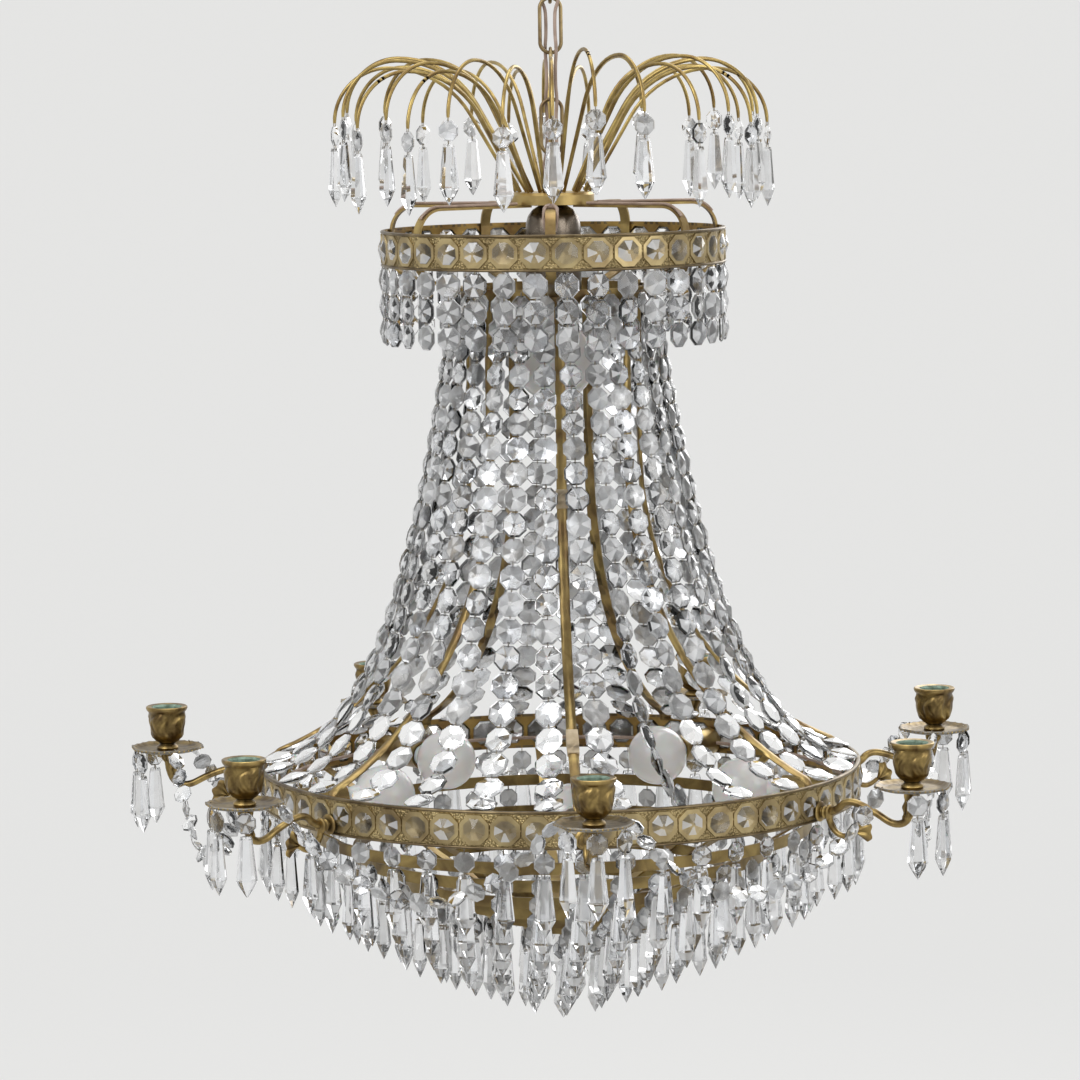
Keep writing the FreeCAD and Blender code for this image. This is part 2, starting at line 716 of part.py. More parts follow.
def ring_section(ring, windows):
    """One section of a stamped ring, centred on azimuth 0: half round rims along a band with a row of
    octagonal windows."""
    radius, foot, height = ring["radius"], ring["foot"], ring["height"]
    wall, rim = size("band_wall"), size("rim_radius")
    inside, top = radius - wall, foot + height
    corners = [
        (inside, foot), (radius, foot), (radius, foot + 2 * rim),
        (radius, top - 2 * rim), (radius, top), (inside, top),
    ]
    points = [front(r, z) for r, z in corners]
    edges = []
    for i, (a, b) in enumerate(zip(points, points[1:] + points[:1])):
        if i in (1, 3):
            bulge = (a + b) / 2 + Vector(0, -rim, 0)
            edges.append(Part.Arc(a, bulge, b).toShape())
        else:
            edges.append(Part.LineSegment(a, b).toShape())
    profile = Part.Face(Part.Wire(edges))
    gap = math.degrees(size("seam_gap") / radius)
    band = profile.revolve(Vector(), UP, section_angle - gap)
    band.rotate(Vector(), UP, (gap - section_angle) / 2)
    corner = size("window_size") / 2 / math.cos(math.pi / OCTAGON)
    level = foot + height / 2
    angles = [math.pi * (2 * i + 1) / OCTAGON for i in range(OCTAGON + 1)]
    loop = [Vector(corner * math.cos(a), -inside + 2 * wall, level + corner * math.sin(a)) for a in angles]
    punch = Part.Face(Part.makePolygon(loop)).extrude(Vector(0, -4 * wall - rim, 0))
    step = section_angle / windows
    punches = [turned(punch, step * (k - (windows - 1) / 2)) for k in range(windows)]
    return band.cut(punches)


def window_crystals(radius, level, copies, phase):
    """The crystals in the windows of a ring."""
    crystal = octagon(size("window_size") - 2 * size("window_gap"))
    crystal.translate(front(radius - size("band_wall") / 2, level))
    return Part.makeCompound(all_round(crystal, copies, phase))


def ring_sizes(name):
    """A stamped ring's own sizes."""
    return {key: size("%s_%s" % (name, key)) for key in ("radius", "foot", "height")}


upper = ring_sizes("upper_ring")
windows = count("upper_windows")
upper_phase = size("crown_phase") + section_angle / windows / 2
band = ring_section(upper, windows)
feature("upper_ring", Part.makeCompound(all_round(band, sections, size("crown_phase") + section_angle / 2)))
level = upper["foot"] + upper["height"] / 2
feature("upper_ring_crystals", window_crystals(upper["radius"], level, sections * windows, upper_phase))

fringe = []
across, gap = size("fringe_octagon"), size("string_gap")
for row in range(1, count("fringe_rows") + 1):
    crystal = octagon(across)
    height = upper["foot"] - row * (gap + across) + across / 2
    crystal.translate(front(upper["radius"] - size("band_wall") / 2, height))
    fringe += all_round(crystal, sections * windows, upper_phase)
feature("fringe_crystals", Part.makeCompound(fringe))

# --- Cage -------------------------------------------------------------------------------------

screw_level = size("strand_ring_top") - size("screw_depth")
screw_hole = bore(
    size("shank_radius") + size("fit_gap"), size("rib_top_circle") - size("rib_thickness"),
    size("strand_ring_radius") + 1, screw_level,
)
holes = document.addObject("Part::Feature", "screw_holes")
holes.Shape = Part.makeCompound(all_round(screw_hole, sections, size("rib_phase")))
blank = hoop_blank("strand_ring", "strand_ring_radius", "strand_ring_foot", "strand_ring_height")
keep("strand_ring", boolean("Cut", "strand_ring", blank, holes))

RIB_HEAD = 2.6
RIB_FOOT_DEPTH = 4.0


def rib_trail():
    """The middle line of a rib: upright, then sweeping out and bent down onto the lower ring."""
    start = size("strand_ring_top") + RIB_HEAD
    trail = Trail(size("rib_top_circle"), start, -QUARTER).run(size("rib_straight"))
    out = size("rib_foot_circle") - size("rib_top_circle")
    down = start - size("rib_straight") - (size("lower_ring_top") - RIB_FOOT_DEPTH)
    both = (out**2 + down**2) / (2 * out)
    sweep = math.degrees(math.acos((both - out) / both))
    foot = size("rib_foot_bend")
    return trail.bend(both - foot, sweep).bend(foot, -sweep)


rib = strip(rib_trail().wire(), size("rib_thickness"), size("rib_width")).cut(screw_hole)
feature("ribs", Part.makeCompound(all_round(rib, sections, size("rib_phase"))))


def rib_screw():
    """A screw through the strand ring and a rib at azimuth 0, its head outside."""
    seat = size("strand_ring_radius") + size("fit_gap") / 2
    shank = bore(size("shank_radius"), size("rib_top_circle") - size("rib_thickness") / 2, seat, screw_level)
    return shank.fuse(bore(size("screw_radius"), seat, seat + size("screw_head"), screw_level))


feature("rib_screws", Part.makeCompound(all_round(rib_screw(), sections, size("rib_phase"))))

strand_out = size("strand_ring_radius") + size("strand_stand_off")
strand_foot_out = size("lower_ring_radius") - size("band_wall") / 2
strand_start = size("strand_ring_top") - size("strand_hang")
strand_drop = strand_start - size("lower_ring_top") - size("strand_end")
pitches = [
    size("strand_top_pitch")
    + (size("strand_foot_pitch") - size("strand_top_pitch")) * k / (count("strand_crystals") - 1)
    for k in range(count("strand_crystals"))
]
strand_hang = Hang(strand_foot_out - strand_out, -strand_drop, sum(pitches))


def strand(azimuth):
    """One string of octagons from the strand ring to the lower ring, turned a little on its way."""
    made = []
    along = 0.0
    twist = size("strand_foot_phase") - size("strand_top_phase")
    for pitch in pitches:
        across, height, slope = strand_hang.place(along + pitch / 2)
        crystal = octagon(pitch - size("string_gap"))
        crystal.rotate(Vector(), Vector(1, 0, 0), -(math.degrees(slope) + QUARTER))
        crystal.translate(front(strand_out + across, strand_start + height))
        share = (along + pitch / 2) / sum(pitches)
        made.append(turned(crystal, azimuth + size("strand_top_phase") + twist * share))
        along += pitch
    return made


STRAND_SETS = 4
strand_step = ALL_ROUND / count("strand_count")
per_set = count("strand_count") // STRAND_SETS
for group in range(STRAND_SETS):
    hung_strands = []
    for k in range(per_set):
        hung_strands += strand((group * per_set + k + 0.5) * strand_step)
    feature("strand_set_%d" % (group + 1), Part.makeCompound(hung_strands))

# --- Lower ring -------------------------------------------------------------------------------

lower = ring_sizes("lower_ring")
windows = count("lower_windows")
lower_phase = size("lower_phase")
shank_hole = bore(
    size("arm_shank") + size("fit_gap"), size("lower_ring_inside") - 1, size("arm_seat"), size("arm_root")
)
ends = [turned(shank_hole, section_angle / 2), turned(shank_hole, -section_angle / 2)]
band = ring_section(lower, windows).cut(ends)
feature("lower_ring", Part.makeCompound(all_round(band, sections, lower_phase + section_angle / 2)))
level = lower["foot"] + lower["height"] / 2
first_window = lower_phase + section_angle / windows / 2
feature("lower_ring_crystals", window_crystals(lower["radius"], level, sections * windows, first_window))

# --- Basket -----------------------------------------------------------------------------------

ring_middle = lower["radius"] - size("band_wall") / 2
across = size("drop_octagon")
drops = drops_round(ring_middle, lower["foot"], count("lower_drops"), across, lower_phase)
feature("lower_ring_drops", Part.makeCompound(drops))

DISC_BELOW = 3.5
DISC_THICKNESS = 2.0
POST_RADIUS = 2.0
POST = 14.0
STRAP_TURN = 1.4
tier_drops = []
strap_out = size("lower_ring_inside") - size("fit_gap") - size("basket_strap_thickness") / 2
strap_end = lower["foot"] + size("basket_strap_hook")
strap_points = [(strap_out, strap_end), (strap_out, lower["foot"] + STRAP_TURN)]
for number, (radius, below, copies) in enumerate(TIERS, start=1):
    foot = "lower_ring_foot - %s" % below
    label = "tier_ring_%d" % number
    keep(label, hoop_blank(label, str(radius), foot, "tier_height"))
    tier_drops += drops_round(radius - size("band_wall") / 2, value(foot), copies, across, lower_phase)
    rest = value(foot) + size("tier_height") + size("fit_gap") + size("basket_strap_thickness") / 2
    strap_points.append((radius - size("band_wall"), rest))
disc_level = strap_points[-1][1] - DISC_BELOW
strap_points.append((size("basket_disc_radius") + size("fit_gap"), disc_level))
disc_foot = disc_level - DISC_THICKNESS / 2
disc = Part.makeCylinder(size("basket_disc_radius"), DISC_THICKNESS, Vector(0, 0, disc_foot))
disc = disc.fuse(Part.makeCylinder(POST_RADIUS, POST, Vector(0, 0, disc_foot - POST)))
feature("basket_disc", disc)
for piece in hung(across):
    piece.translate(Vector(0, 0, disc_foot - POST))
    tier_drops.append(piece)
feature("tier_drops", Part.makeCompound(tier_drops))
wire, _ = smooth_wire([front(r, z) for r, z in strap_points])
basket_strap = strip(wire, size("basket_strap_thickness"), size("strap_width"))
basket_phase = lower_phase + section_angle / 2
feature("basket_straps", Part.makeCompound(all_round(basket_strap, sections, basket_phase)))

# --- Candle arms ------------------------------------------------------------------------------


# An arm's bends: share of its reach from the boss to the cup's axis, and height above its root.
ARM_BENDS = [(0.015, 0.0), (0.17, 0.0), (0.30, 12.0), (0.58, 5.0), (0.82, -6.0), (1.0, 2.0)]

# The scroll below an arm: out from the boss, and height above the root.
SCROLL = [(8.0, -2.0), (9.0, -9.0), (16.0, -17.0), (25.0, -17.5), (31.0, -12.5)]
SCROLL_SHARE = 0.7

# Boss and collars: out from the boss's back, length and radius.
ARM_COLLARS = [(0.0, 2.0, "arm_boss"), (3.5, 2.2, "arm_ball"), (7.6, 2.6, "arm_collar")]


def candle_arm():
    """An arm at azimuth 0: shank, boss, collars, the tube up to the pan, and a scroll below."""
    root, seat = size("arm_root"), size("arm_seat")
    reach = size("cup_circle") - seat
    bends = [front(seat + reach * share, root + lift) for share, lift in ARM_BENDS]
    wire, _ = smooth_wire(bends + [front(size("cup_circle"), size("pan_underside"))])
    pieces = [tube(wire, size("arm_tube"))]
    pieces.append(bore(size("arm_shank"), size("nut_seat") - size("nut_height"), seat + 1, root))
    for start, length, radius in ARM_COLLARS:
        pieces.append(bore(size(radius), seat + start, seat + start + length, root))
    wire, _ = smooth_wire([front(seat + out, root + lift) for out, lift in SCROLL])
    pieces.append(tube(wire, size("arm_tube") * SCROLL_SHARE))
    return pieces[0].fuse(pieces[1:])


arm = candle_arm()
feature("candle_arms", Part.makeCompound(all_round(arm, sections, lower_phase)))


def arm_nut():
    """A hexagon nut inside the lower ring at azimuth 0."""
    root, seat = size("arm_root"), size("nut_seat")
    corner = size("nut_flats") / 2 / math.cos(math.pi / 6)
    angles = [math.pi * i / 3 for i in range(7)]
    loop = [front(seat, root + corner * math.sin(a), corner * math.cos(a)) for a in angles]
    blank = Part.Face(Part.makePolygon(loop)).extrude(INWARD * size("nut_height"))
    return blank.cut(bore(size("arm_shank") + size("fit_gap"), seat - 2 * size("nut_height"), seat + 1, root))


feature("arm_nuts", Part.makeCompound(all_round(arm_nut(), sections, lower_phase)))

turned_body(
    "drip_pans",
    [
        ("0", "pan_underside"),
        ("pan_radius * 0.8", "pan_underside"),
        ("pan_radius", "pan_rim - pan_wall"),
        ("pan_radius", "pan_rim"),
        ("pan_radius - pan_wall", "pan_rim"),
        ("pan_radius * 0.8 - pan_wall", "pan_floor"),
        ("0", "pan_floor"),
    ],
    "cup_circle",
    sections,
    lower_phase,
)
turned_body(
    "candle_cups",
    [
        ("0", "pan_floor"),
        ("cup_foot", "pan_floor"),
        ("cup_foot", "pan_floor + 2.5"),
        ("cup_foot * 0.62", "pan_floor + 5.5"),
        ("cup_belly * 0.86", "pan_floor + 9.5"),
        ("cup_belly", "pan_floor + 15"),
        ("cup_belly * 0.94", "cup_rim - 8"),
        ("cup_lip * 0.86", "cup_rim - 4"),
        ("cup_lip", "cup_rim - 1.4"),
        ("cup_lip", "cup_rim"),
        ("candle_radius", "cup_rim"),
        ("candle_radius", "cup_rim - candle_depth"),
        ("0", "cup_rim - candle_depth"),
    ],
    "cup_circle",
    sections,
    lower_phase,
)

PENDANT_SIDE = 52.0


def pan_drop(arm, side):
    """A drop on the pan of an arm, at an angle to the side of the arm's own direction."""
    made = []
    for piece in hung(across):
        piece.translate(front(size("pan_radius") - size("pan_wall"), size("pan_rim") - size("pan_wall")))
        piece.rotate(Vector(), UP, side)
        piece.translate(front(size("cup_circle"), 0))
        made.append(turned(piece, lower_phase + section_angle * arm))
    return made


for arm_number in range(sections):
    feature("pan_pendant_%d" % (arm_number + 1), Part.makeCompound(pan_drop(arm_number, 0)))
still_drops = []
for arm_number in range(sections):
    still_drops += pan_drop(arm_number, -PENDANT_SIDE) + pan_drop(arm_number, PENDANT_SIDE)
feature("pan_drops", Part.makeCompound(still_drops))


def swag():
    """A festoon between the pans at azimuth 0 and the next."""
    height = size("pan_rim") - size("pan_wall")
    half = math.radians(section_angle / 2)
    chord = 2 * (size("cup_circle") * math.sin(half) - size("pan_radius") - size("string_gap"))
    middle = size("cup_circle") * math.cos(half)
    pitch = size("swag_octagon") + size("string_gap")
    string = Hang(chord, 0.0, pitch * count("swag_crystals"))
    made = []
    for k in range(count("swag_crystals")):
        along, sag, slope = string.place((k + 0.5) * pitch)
        crystal = octagon(size("swag_octagon"))
        crystal.rotate(Vector(), Vector(0, 1, 0), -math.degrees(slope))
        crystal.translate(front(middle, height + sag, along - chord / 2))
        made.append(turned(crystal, section_angle / 2))
    return made


one = swag()
feature("swags", Part.makeCompound([s for piece in one for s in all_round(piece, sections, lower_phase)]))

# --- Lamps of the lower ring ------------------------------------------------------------------

lamps = count("lamp_count")
holders = []
for k in range(lamps):
    back = front(size("lamp_back"), size("lamp_axis"))
    sleeve = Part.makeCylinder(size("sleeve_radius"), size("sleeve_length"), back, INWARD)
    mouth = back + INWARD * size("sleeve_length")
    cap_bore = size("small_cap_radius") + size("fit_gap")
    sleeve = sleeve.cut(Part.makeCylinder(cap_bore, size("small_cap_length"), mouth, -INWARD))
    rim, level = size("lower_ring_inside") - size("fit_gap"), lower["foot"] + size("peg_level")
    sleeve = sleeve.fuse(bore(size("peg_radius"), size("lamp_back") - 1, rim, level))
    holders.append(turned(sleeve, size("lamp_phase") + ALL_ROUND * k / lamps))
feature("lamp_holders", Part.makeCompound(holders))

for k in range(lamps):
    item = bulb(
        "ring_bulb_%d" % (k + 1), "small_cap_radius", "small_cap_length",
        "small_globe_radius", "0", "0 - small_globe_radius - small_neck",
    )
    azimuth = size("lamp_phase") + ALL_ROUND * k / lamps
    lean = Rotation(UP, azimuth).multiply(Rotation(Vector(1, 0, 0), QUARTER))
    mouth = front(size("lamp_back") - size("sleeve_length"), size("lamp_axis"))
    item.Placement = Placement(Rotation(UP, azimuth).multVec(mouth), lean)

CABLE_CIRCLE_INSET = 10.0
cable_circle = size("lower_ring_inside") - CABLE_CIRCLE_INSET
reach = math.degrees(math.asin((size("sleeve_radius") + size("fit_gap")) / cable_circle))
cables = []
for k in range(lamps):
    section = Part.Face(Part.Wire(Part.makeCircle(
        size("flex_diameter") / 2, front(cable_circle, size("lamp_axis")), Vector(1, 0, 0))))
    arc = section.revolve(Vector(), UP, ALL_ROUND / lamps - 2 * reach)
    cables.append(turned(arc, size("lamp_phase") + ALL_ROUND * k / lamps + reach))
feature("lamp_cable", Part.makeCompound(cables))

# --- Checking and writing ---------------------------------------------------------------------

document.recompute()
for item in document.Objects:
    if "Invalid" in item.State or "Error" in item.State:
        raise RuntimeError("%s failed: %s" % (item.Label, item.State))
os.makedirs("parts", exist_ok=True)
for item in nodes:
    shape = item.Shape
    if shape.isNull() or not shape.isValid() or not shape.Solids:
        raise RuntimeError("%s has no valid shape" % item.Label)
    print("%-20s %4d solids %12.1f mm3" % (item.Label, len(shape.Solids), shape.Volume))
    shape.exportStep("parts/%s.step" % item.Label)
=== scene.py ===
"""The look of a crystal chandelier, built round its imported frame.

Sizes are millimetres until a piece is finished, and angles are degrees where nothing else is said.
The front is towards -Y, and an azimuth is counted from the front towards +X.
"""

import logging
import math
import random
from dataclasses import dataclass
from typing import Callable, Iterable, Sequence

import bmesh
import bpy
from bmesh.types import BMesh
from mathutils import Matrix, Vector


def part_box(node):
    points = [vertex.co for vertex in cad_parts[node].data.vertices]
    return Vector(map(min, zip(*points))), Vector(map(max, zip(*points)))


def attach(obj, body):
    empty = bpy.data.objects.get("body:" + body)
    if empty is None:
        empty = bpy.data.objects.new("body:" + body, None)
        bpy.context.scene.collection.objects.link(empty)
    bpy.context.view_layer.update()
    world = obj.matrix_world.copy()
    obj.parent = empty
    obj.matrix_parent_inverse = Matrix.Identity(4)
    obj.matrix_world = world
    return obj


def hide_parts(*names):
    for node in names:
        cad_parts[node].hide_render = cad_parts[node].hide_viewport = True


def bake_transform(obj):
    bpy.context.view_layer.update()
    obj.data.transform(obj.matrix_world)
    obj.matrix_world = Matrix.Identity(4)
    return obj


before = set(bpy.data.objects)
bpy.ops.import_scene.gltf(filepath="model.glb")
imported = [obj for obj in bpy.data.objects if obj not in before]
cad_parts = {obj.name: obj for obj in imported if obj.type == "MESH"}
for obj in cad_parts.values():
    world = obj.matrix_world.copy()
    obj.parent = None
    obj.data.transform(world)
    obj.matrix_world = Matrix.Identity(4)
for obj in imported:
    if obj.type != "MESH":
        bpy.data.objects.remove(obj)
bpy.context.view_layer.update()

LOG = logging.getLogger("chandelier")
MM = 0.001
FULL_TURN = 360.0
QUARTER = 90.0
MAIN_BODY = "chandelier"
SIDES = (-1, 1)
Triple = tuple[float, float, float]
Outline = Sequence[tuple[float, float]]
Profile = tuple[tuple[float, float], ...]
Node = bpy.types.Node
Socket = bpy.types.NodeSocket
Tree = bpy.types.NodeTree


# --- Places ---


def spun(angle: float, axis: str) -> Matrix:
    """A turn about an axis."""
    return Matrix.Rotation(math.radians(angle), 4, axis)


def turned(azimuth: float) -> Matrix:
    """The turn about the vertical axis from the front to an azimuth."""
    return spun(azimuth, "Z")


def moved(x: float, y: float, z: float) -> Matrix:
    """A shift."""
    return Matrix.Translation((x, y, z))


def out(radius: float, height: float, azimuth: float = 0.0) -> Matrix:
    """The place at a radius, height and azimuth. There, +Z is up and -Y is outwards."""
    return turned(azimuth) @ moved(0.0, -radius, height)


def azimuths(count: int, phase: float = 0.0) -> list[float]:
    """Azimuths spread evenly all round."""
    return [phase + FULL_TURN * k / count for k in range(count)]


def node_box(node: str) -> tuple[Vector, Vector]:
    """Lowest and highest corner of a frame node."""
    low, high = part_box(node)
    return Vector(low) / MM, Vector(high) / MM


def heights(node: str) -> tuple[float, float]:
    """Lowest and highest level of a frame node."""
    low, high = node_box(node)
    return low.z, high.z


HUB_FOOT, HUB_TOP = heights("spray_hub")
STRAND_TOP = heights("strand_ring")[1]
LOWER_TOP = heights("lower_ring")[1]
PAN_RIM = heights("drip_pans")[1]
CUP_RIM = heights("candle_cups")[1]


class Trail:
    """Runs and tangent arcs in the vertical plane of azimuth 0, as stations for a sweep.

    The heading is above the outward direction.
    """

    def __init__(self, radius: float, height: float, heading: float, step: float = 6.0) -> None:
        """Starts at a radius and height, with an arc's largest step."""
        self.at = (radius, height)
        self.heading = heading
        self.step = step
        self.points = [(radius, height, heading)]

    def run(self, length: float) -> "Trail":
        """Adds a straight run and returns the trail."""
        ray = math.radians(self.heading)
        self.at = (self.at[0] + length * math.cos(ray), self.at[1] + length * math.sin(ray))
        self.points.append((*self.at, self.heading))
        return self

    def bend(self, radius: float, turn: float) -> "Trail":
        """Adds an arc that turns the heading, upwards where turn is positive, and returns the trail."""
        side = math.copysign(QUARTER, turn)
        to_centre = math.radians(self.heading + side)
        centre = (self.at[0] + radius * math.cos(to_centre), self.at[1] + radius * math.sin(to_centre))
        steps = max(2, math.ceil(abs(turn) / self.step))
        for i in range(1, steps + 1):
            ray = math.radians(self.heading - side + turn * i / steps)
            at = (centre[0] + radius * math.cos(ray), centre[1] + radius * math.sin(ray))
            self.points.append((*at, self.heading + turn * i / steps))
        self.at = self.points[-1][:2]
        self.heading += turn
        return self

    def between(self, top: float, foot: float, steps: int) -> "Trail":
        """The stretch of a falling trail between two heights, in even steps."""
        found = []
        for i in range(steps + 1):
            level = top + (foot - top) * i / steps
            for (ra, za, ha), (rb, zb, hb) in zip(self.points, self.points[1:]):
                if za >= level >= zb and za > zb:
                    share = (za - level) / (za - zb)
                    found.append((ra + (rb - ra) * share, level, ha + (hb - ha) * share))
                    break
        stretch = Trail(*found[0])
        stretch.points = found
        return stretch

    def stations(self) -> list[Matrix]:
        """The trail as frames whose X is across it, sideways, and whose Z runs along it."""
        return [moved(0.0, -radius, height) @ spun(QUARTER - ray, "X") for radius, height, ray in self.points]


def route_stations(points: Sequence[Vector], twist: float = 0.0) -> list[Matrix]:
    """Frames along points, turning as little as they can, with an even extra twist."""
    along = [(b - a).normalized() for a, b in zip(points, points[1:])]
    along.append(along[-1])
    first = along[0].orthogonal().normalized()
    made = []
    for i, (at, ahead) in enumerate(zip(points, along)):
        if 0 < i < len(points) - 1:
            ahead = (along[i - 1] + ahead).normalized()
        first = (first - ahead * first.dot(ahead)).normalized()
        frame_here = Matrix((first, ahead.cross(first), ahead)).transposed().to_4x4()
        made.append(Matrix.Translation(at) @ frame_here @ spun(twist * i / (len(points) - 1), "Z"))
    return made


def spline_points(points: Sequence[Vector]) -> list[Vector]:
    """Points along the smooth NURBS line of a route."""
    curve = bpy.data.curves.new("route", "CURVE")
    curve.dimensions = "3D"
    line = curve.splines.new("NURBS")
    line.points.add(len(points) - 1)
    for target, point in zip(line.points, points):
        target.co = (*point, 1.0)
    line.use_endpoint_u = True
    line.order_u = 3
    line.resolution_u = 6
    holder = bpy.data.objects.new("route", curve)
    mesh = bpy.data.meshes.new_from_object(holder)
    found = [v.co.copy() for v in mesh.vertices]
    bpy.data.objects.remove(holder)
    bpy.data.curves.remove(curve)
    bpy.data.meshes.remove(mesh)
    return found


class Hang:
    """A string of a given length hung between two heights: a catenary."""

    def __init__(self, span: float, rise: float, length: float) -> None:
        """Finds the catenary of that length across a span and rise."""
        wanted = math.sqrt(length**2 - rise**2) / span
        low, high = 1e-6, 20.0
        for _ in range(80):
            middle = (low + high) / 2
            if math.sinh(middle) / middle < wanted:
                low = middle
            else:
                high = middle
        self.scale = span / (2 * low)
        self.bottom = span / 2 - self.scale * math.atanh(rise / length)
        self.start = math.sinh(-self.bottom / self.scale)

    def place(self, along: float) -> Triple:
        """Across, height and slope at a distance along the string."""
        swing = math.asinh(along / self.scale + self.start)
        across = self.bottom + self.scale * swing
        height = self.scale * (math.cosh(swing) - math.cosh(-self.bottom / self.scale))
        return across, height, math.degrees(math.atan(math.sinh(swing)))


# --- Mesh making ---


def ring_outline(radius: float, sides: int, lobes: int = 0, depth: float = 0.0) -> Outline:
    """A round outline, with lobes of a depth where asked."""
    made = []
    for i in range(sides):
        ray = 2 * math.pi * i / sides
        reach = radius + depth * math.cos(lobes * ray)
        made.append((reach * math.cos(ray), reach * math.sin(ray)))
    return made


def extruded(bm: BMesh, face: bmesh.types.BMFace) -> bmesh.types.BMFace:
    """The far face of an extrusion from a face."""
    made = bmesh.ops.extrude_face_region(bm, geom=[face])["geom"]
    return next(g for g in made if isinstance(g, bmesh.types.BMFace))


def sweep(bm: BMesh, outline: Outline, stations: Sequence[Matrix], sizes: Sequence[float] = ()) -> None:
    """Adds a closed bar of an outline drawn along stations, scaled by a size at each where given."""
    sizes = sizes or [1.0] * len(stations)
    points = [Vector((x, y, 0.0)) for x, y in outline]
    face = bm.faces.new([bm.verts.new(stations[0] @ (p * sizes[0])) for p in points])
    for station, size in zip(stations[1:], sizes[1:]):
        face = extruded(bm, face)
        for vert, point in zip(face.verts, points):
            vert.co = station @ (point * size)


def lathe(bm: BMesh, profile: Outline, steps: int) -> None:
    """Adds a profile of (radius, height) pairs spun about Z."""
    before = set(bm.verts)
    verts = [bm.verts.new((r, 0.0, z)) for r, z in profile]
    edges = [bm.edges.new(pair) for pair in zip(verts, verts[1:])]
    bmesh.ops.spin(
        bm, geom=verts + edges, cent=(0, 0, 0), axis=(0, 0, 1), angle=2 * math.pi, steps=steps, use_merge=True
    )
    bmesh.ops.remove_doubles(bm, verts=[v for v in bm.verts if v not in before], dist=1e-3)


def place_copies(bm: BMesh, templates: BMesh | Sequence[BMesh], places: Iterable[Matrix]) -> BMesh:
    """Adds a copy of a template at each place, and returns the mesh. Several templates are shuffled."""
    meshes = []
    for template in [templates] if isinstance(templates, BMesh) else templates:
        meshes.append(bpy.data.meshes.new("template"))
        template.to_mesh(meshes[-1])
    chance = random.Random(len(meshes))
    for place in places:
        copy = chance.choice(meshes).copy()
        copy.transform(place)
        bm.from_mesh(copy)
        bpy.data.meshes.remove(copy)
    for mesh in meshes:
        bpy.data.meshes.remove(mesh)
    return bm


def bead(radius: float) -> BMesh:
    """A small ball in the second finish of its piece."""
    bm = bmesh.new()
    bmesh.ops.create_icosphere(bm, subdivisions=1, radius=radius)
    for face in bm.faces:
        face.material_index = 1
    return bm


SOFT_ANGLE = math.radians(38.0)


def finish_piece(
    bm: BMesh,
    name: str,
    finish: "Finish",
    slot: str,
    *replaced: str,
    body: str = MAIN_BODY,
    faceted: bool = False,
    more: Sequence["Finish"] = (),
) -> bpy.types.Object:
    """Turns a mesh in millimetres, which is freed, into a finished piece with its object at the origin.

    It rides on a body and stands for the replaced frame nodes; its slot is not used. Faces may
    name further finishes, and are shaded flat where faceted.
    """
    bmesh.ops.scale(bm, vec=(MM, MM, MM), verts=bm.verts)
    bmesh.ops.recalc_face_normals(bm, faces=bm.faces)
    mesh = bpy.data.meshes.new(name)
    for face in bm.faces:
        face.smooth = not faceted
    if not faceted:
        for edge in bm.edges:
            edge.smooth = not (len(edge.link_faces) == 2 and edge.calc_face_angle(0.0) > SOFT_ANGLE)
    bm.to_mesh(mesh)
    bm.free()
    for each in (finish, *more):
        mesh.materials.append(each.material())
    piece = bpy.data.objects.new(name, mesh)
    bpy.context.scene.collection.objects.link(piece)
    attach(piece, body)
    if replaced:
        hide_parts(*replaced)
    LOG.info("%s: %d faces, on %s", name, len(mesh.polygons), body)
    return piece


def finish_glass(bm: BMesh, name: str, node: str, body: str = MAIN_BODY) -> None:
    """Turns a mesh of crystals in millimetres into a finished piece that stands for a frame node, with facets
    in painted reflection and highlight tones.
    """
    finish_piece(bm, name, CRYSTAL, "crystal", node, body=body, faceted=True, more=CRYSTAL_PAINTED_FACETS)


def finish_wire(bm: BMesh, name: str, body: str = MAIN_BODY) -> None:
    """Turns a mesh of pins or links in millimetres into a finished piece."""
    finish_piece(bm, name, PIN_WIRE, "wire_brass", body=body)


def dress(finish: "Finish", *nodes: str) -> None:
    """Gives frame nodes a finish."""
    for node in nodes:
        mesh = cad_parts[node].data
        mesh.materials.clear()
        mesh.materials.append(finish.material())
        LOG.info("%s: dressed", node)


# --- Finishes ---


def feed(node: Node, *values: object, **named: object) -> Node:
    """Sets or links a node's inputs, in order or by name with spaces as underscores."""
    pairs = list(zip(node.inputs, values))
    pairs += [(node.inputs[name.replace("_", " ")], value) for name, value in named.items()]
    for socket, value in pairs:
        if isinstance(value, Socket):
            node.id_data.links.new(value, socket)
        else:
            socket.default_value = value
    return node


def new_node(tree: Tree, kind: str, *values: object, **named: object) -> Node:
    """A new shader node with its inputs fed."""
    return feed(tree.nodes.new(f"ShaderNode{kind}"), *values, **named)


def seen_share(tree: Tree, share: float) -> Socket:
    """A share on camera, glossy and transmission rays, and none on others."""
    path = new_node(tree, "LightPath")
    total = path.outputs["Is Camera Ray"]
    for ray in ("Is Glossy Ray", "Is Transmission Ray"):
        most = new_node(tree, "Math", total, path.outputs[ray])
        most.operation = "MAXIMUM"
        total = most.outputs[0]
    scaled = new_node(tree, "Math", total, share)
    scaled.operation = "MULTIPLY"
    return scaled.outputs[0]


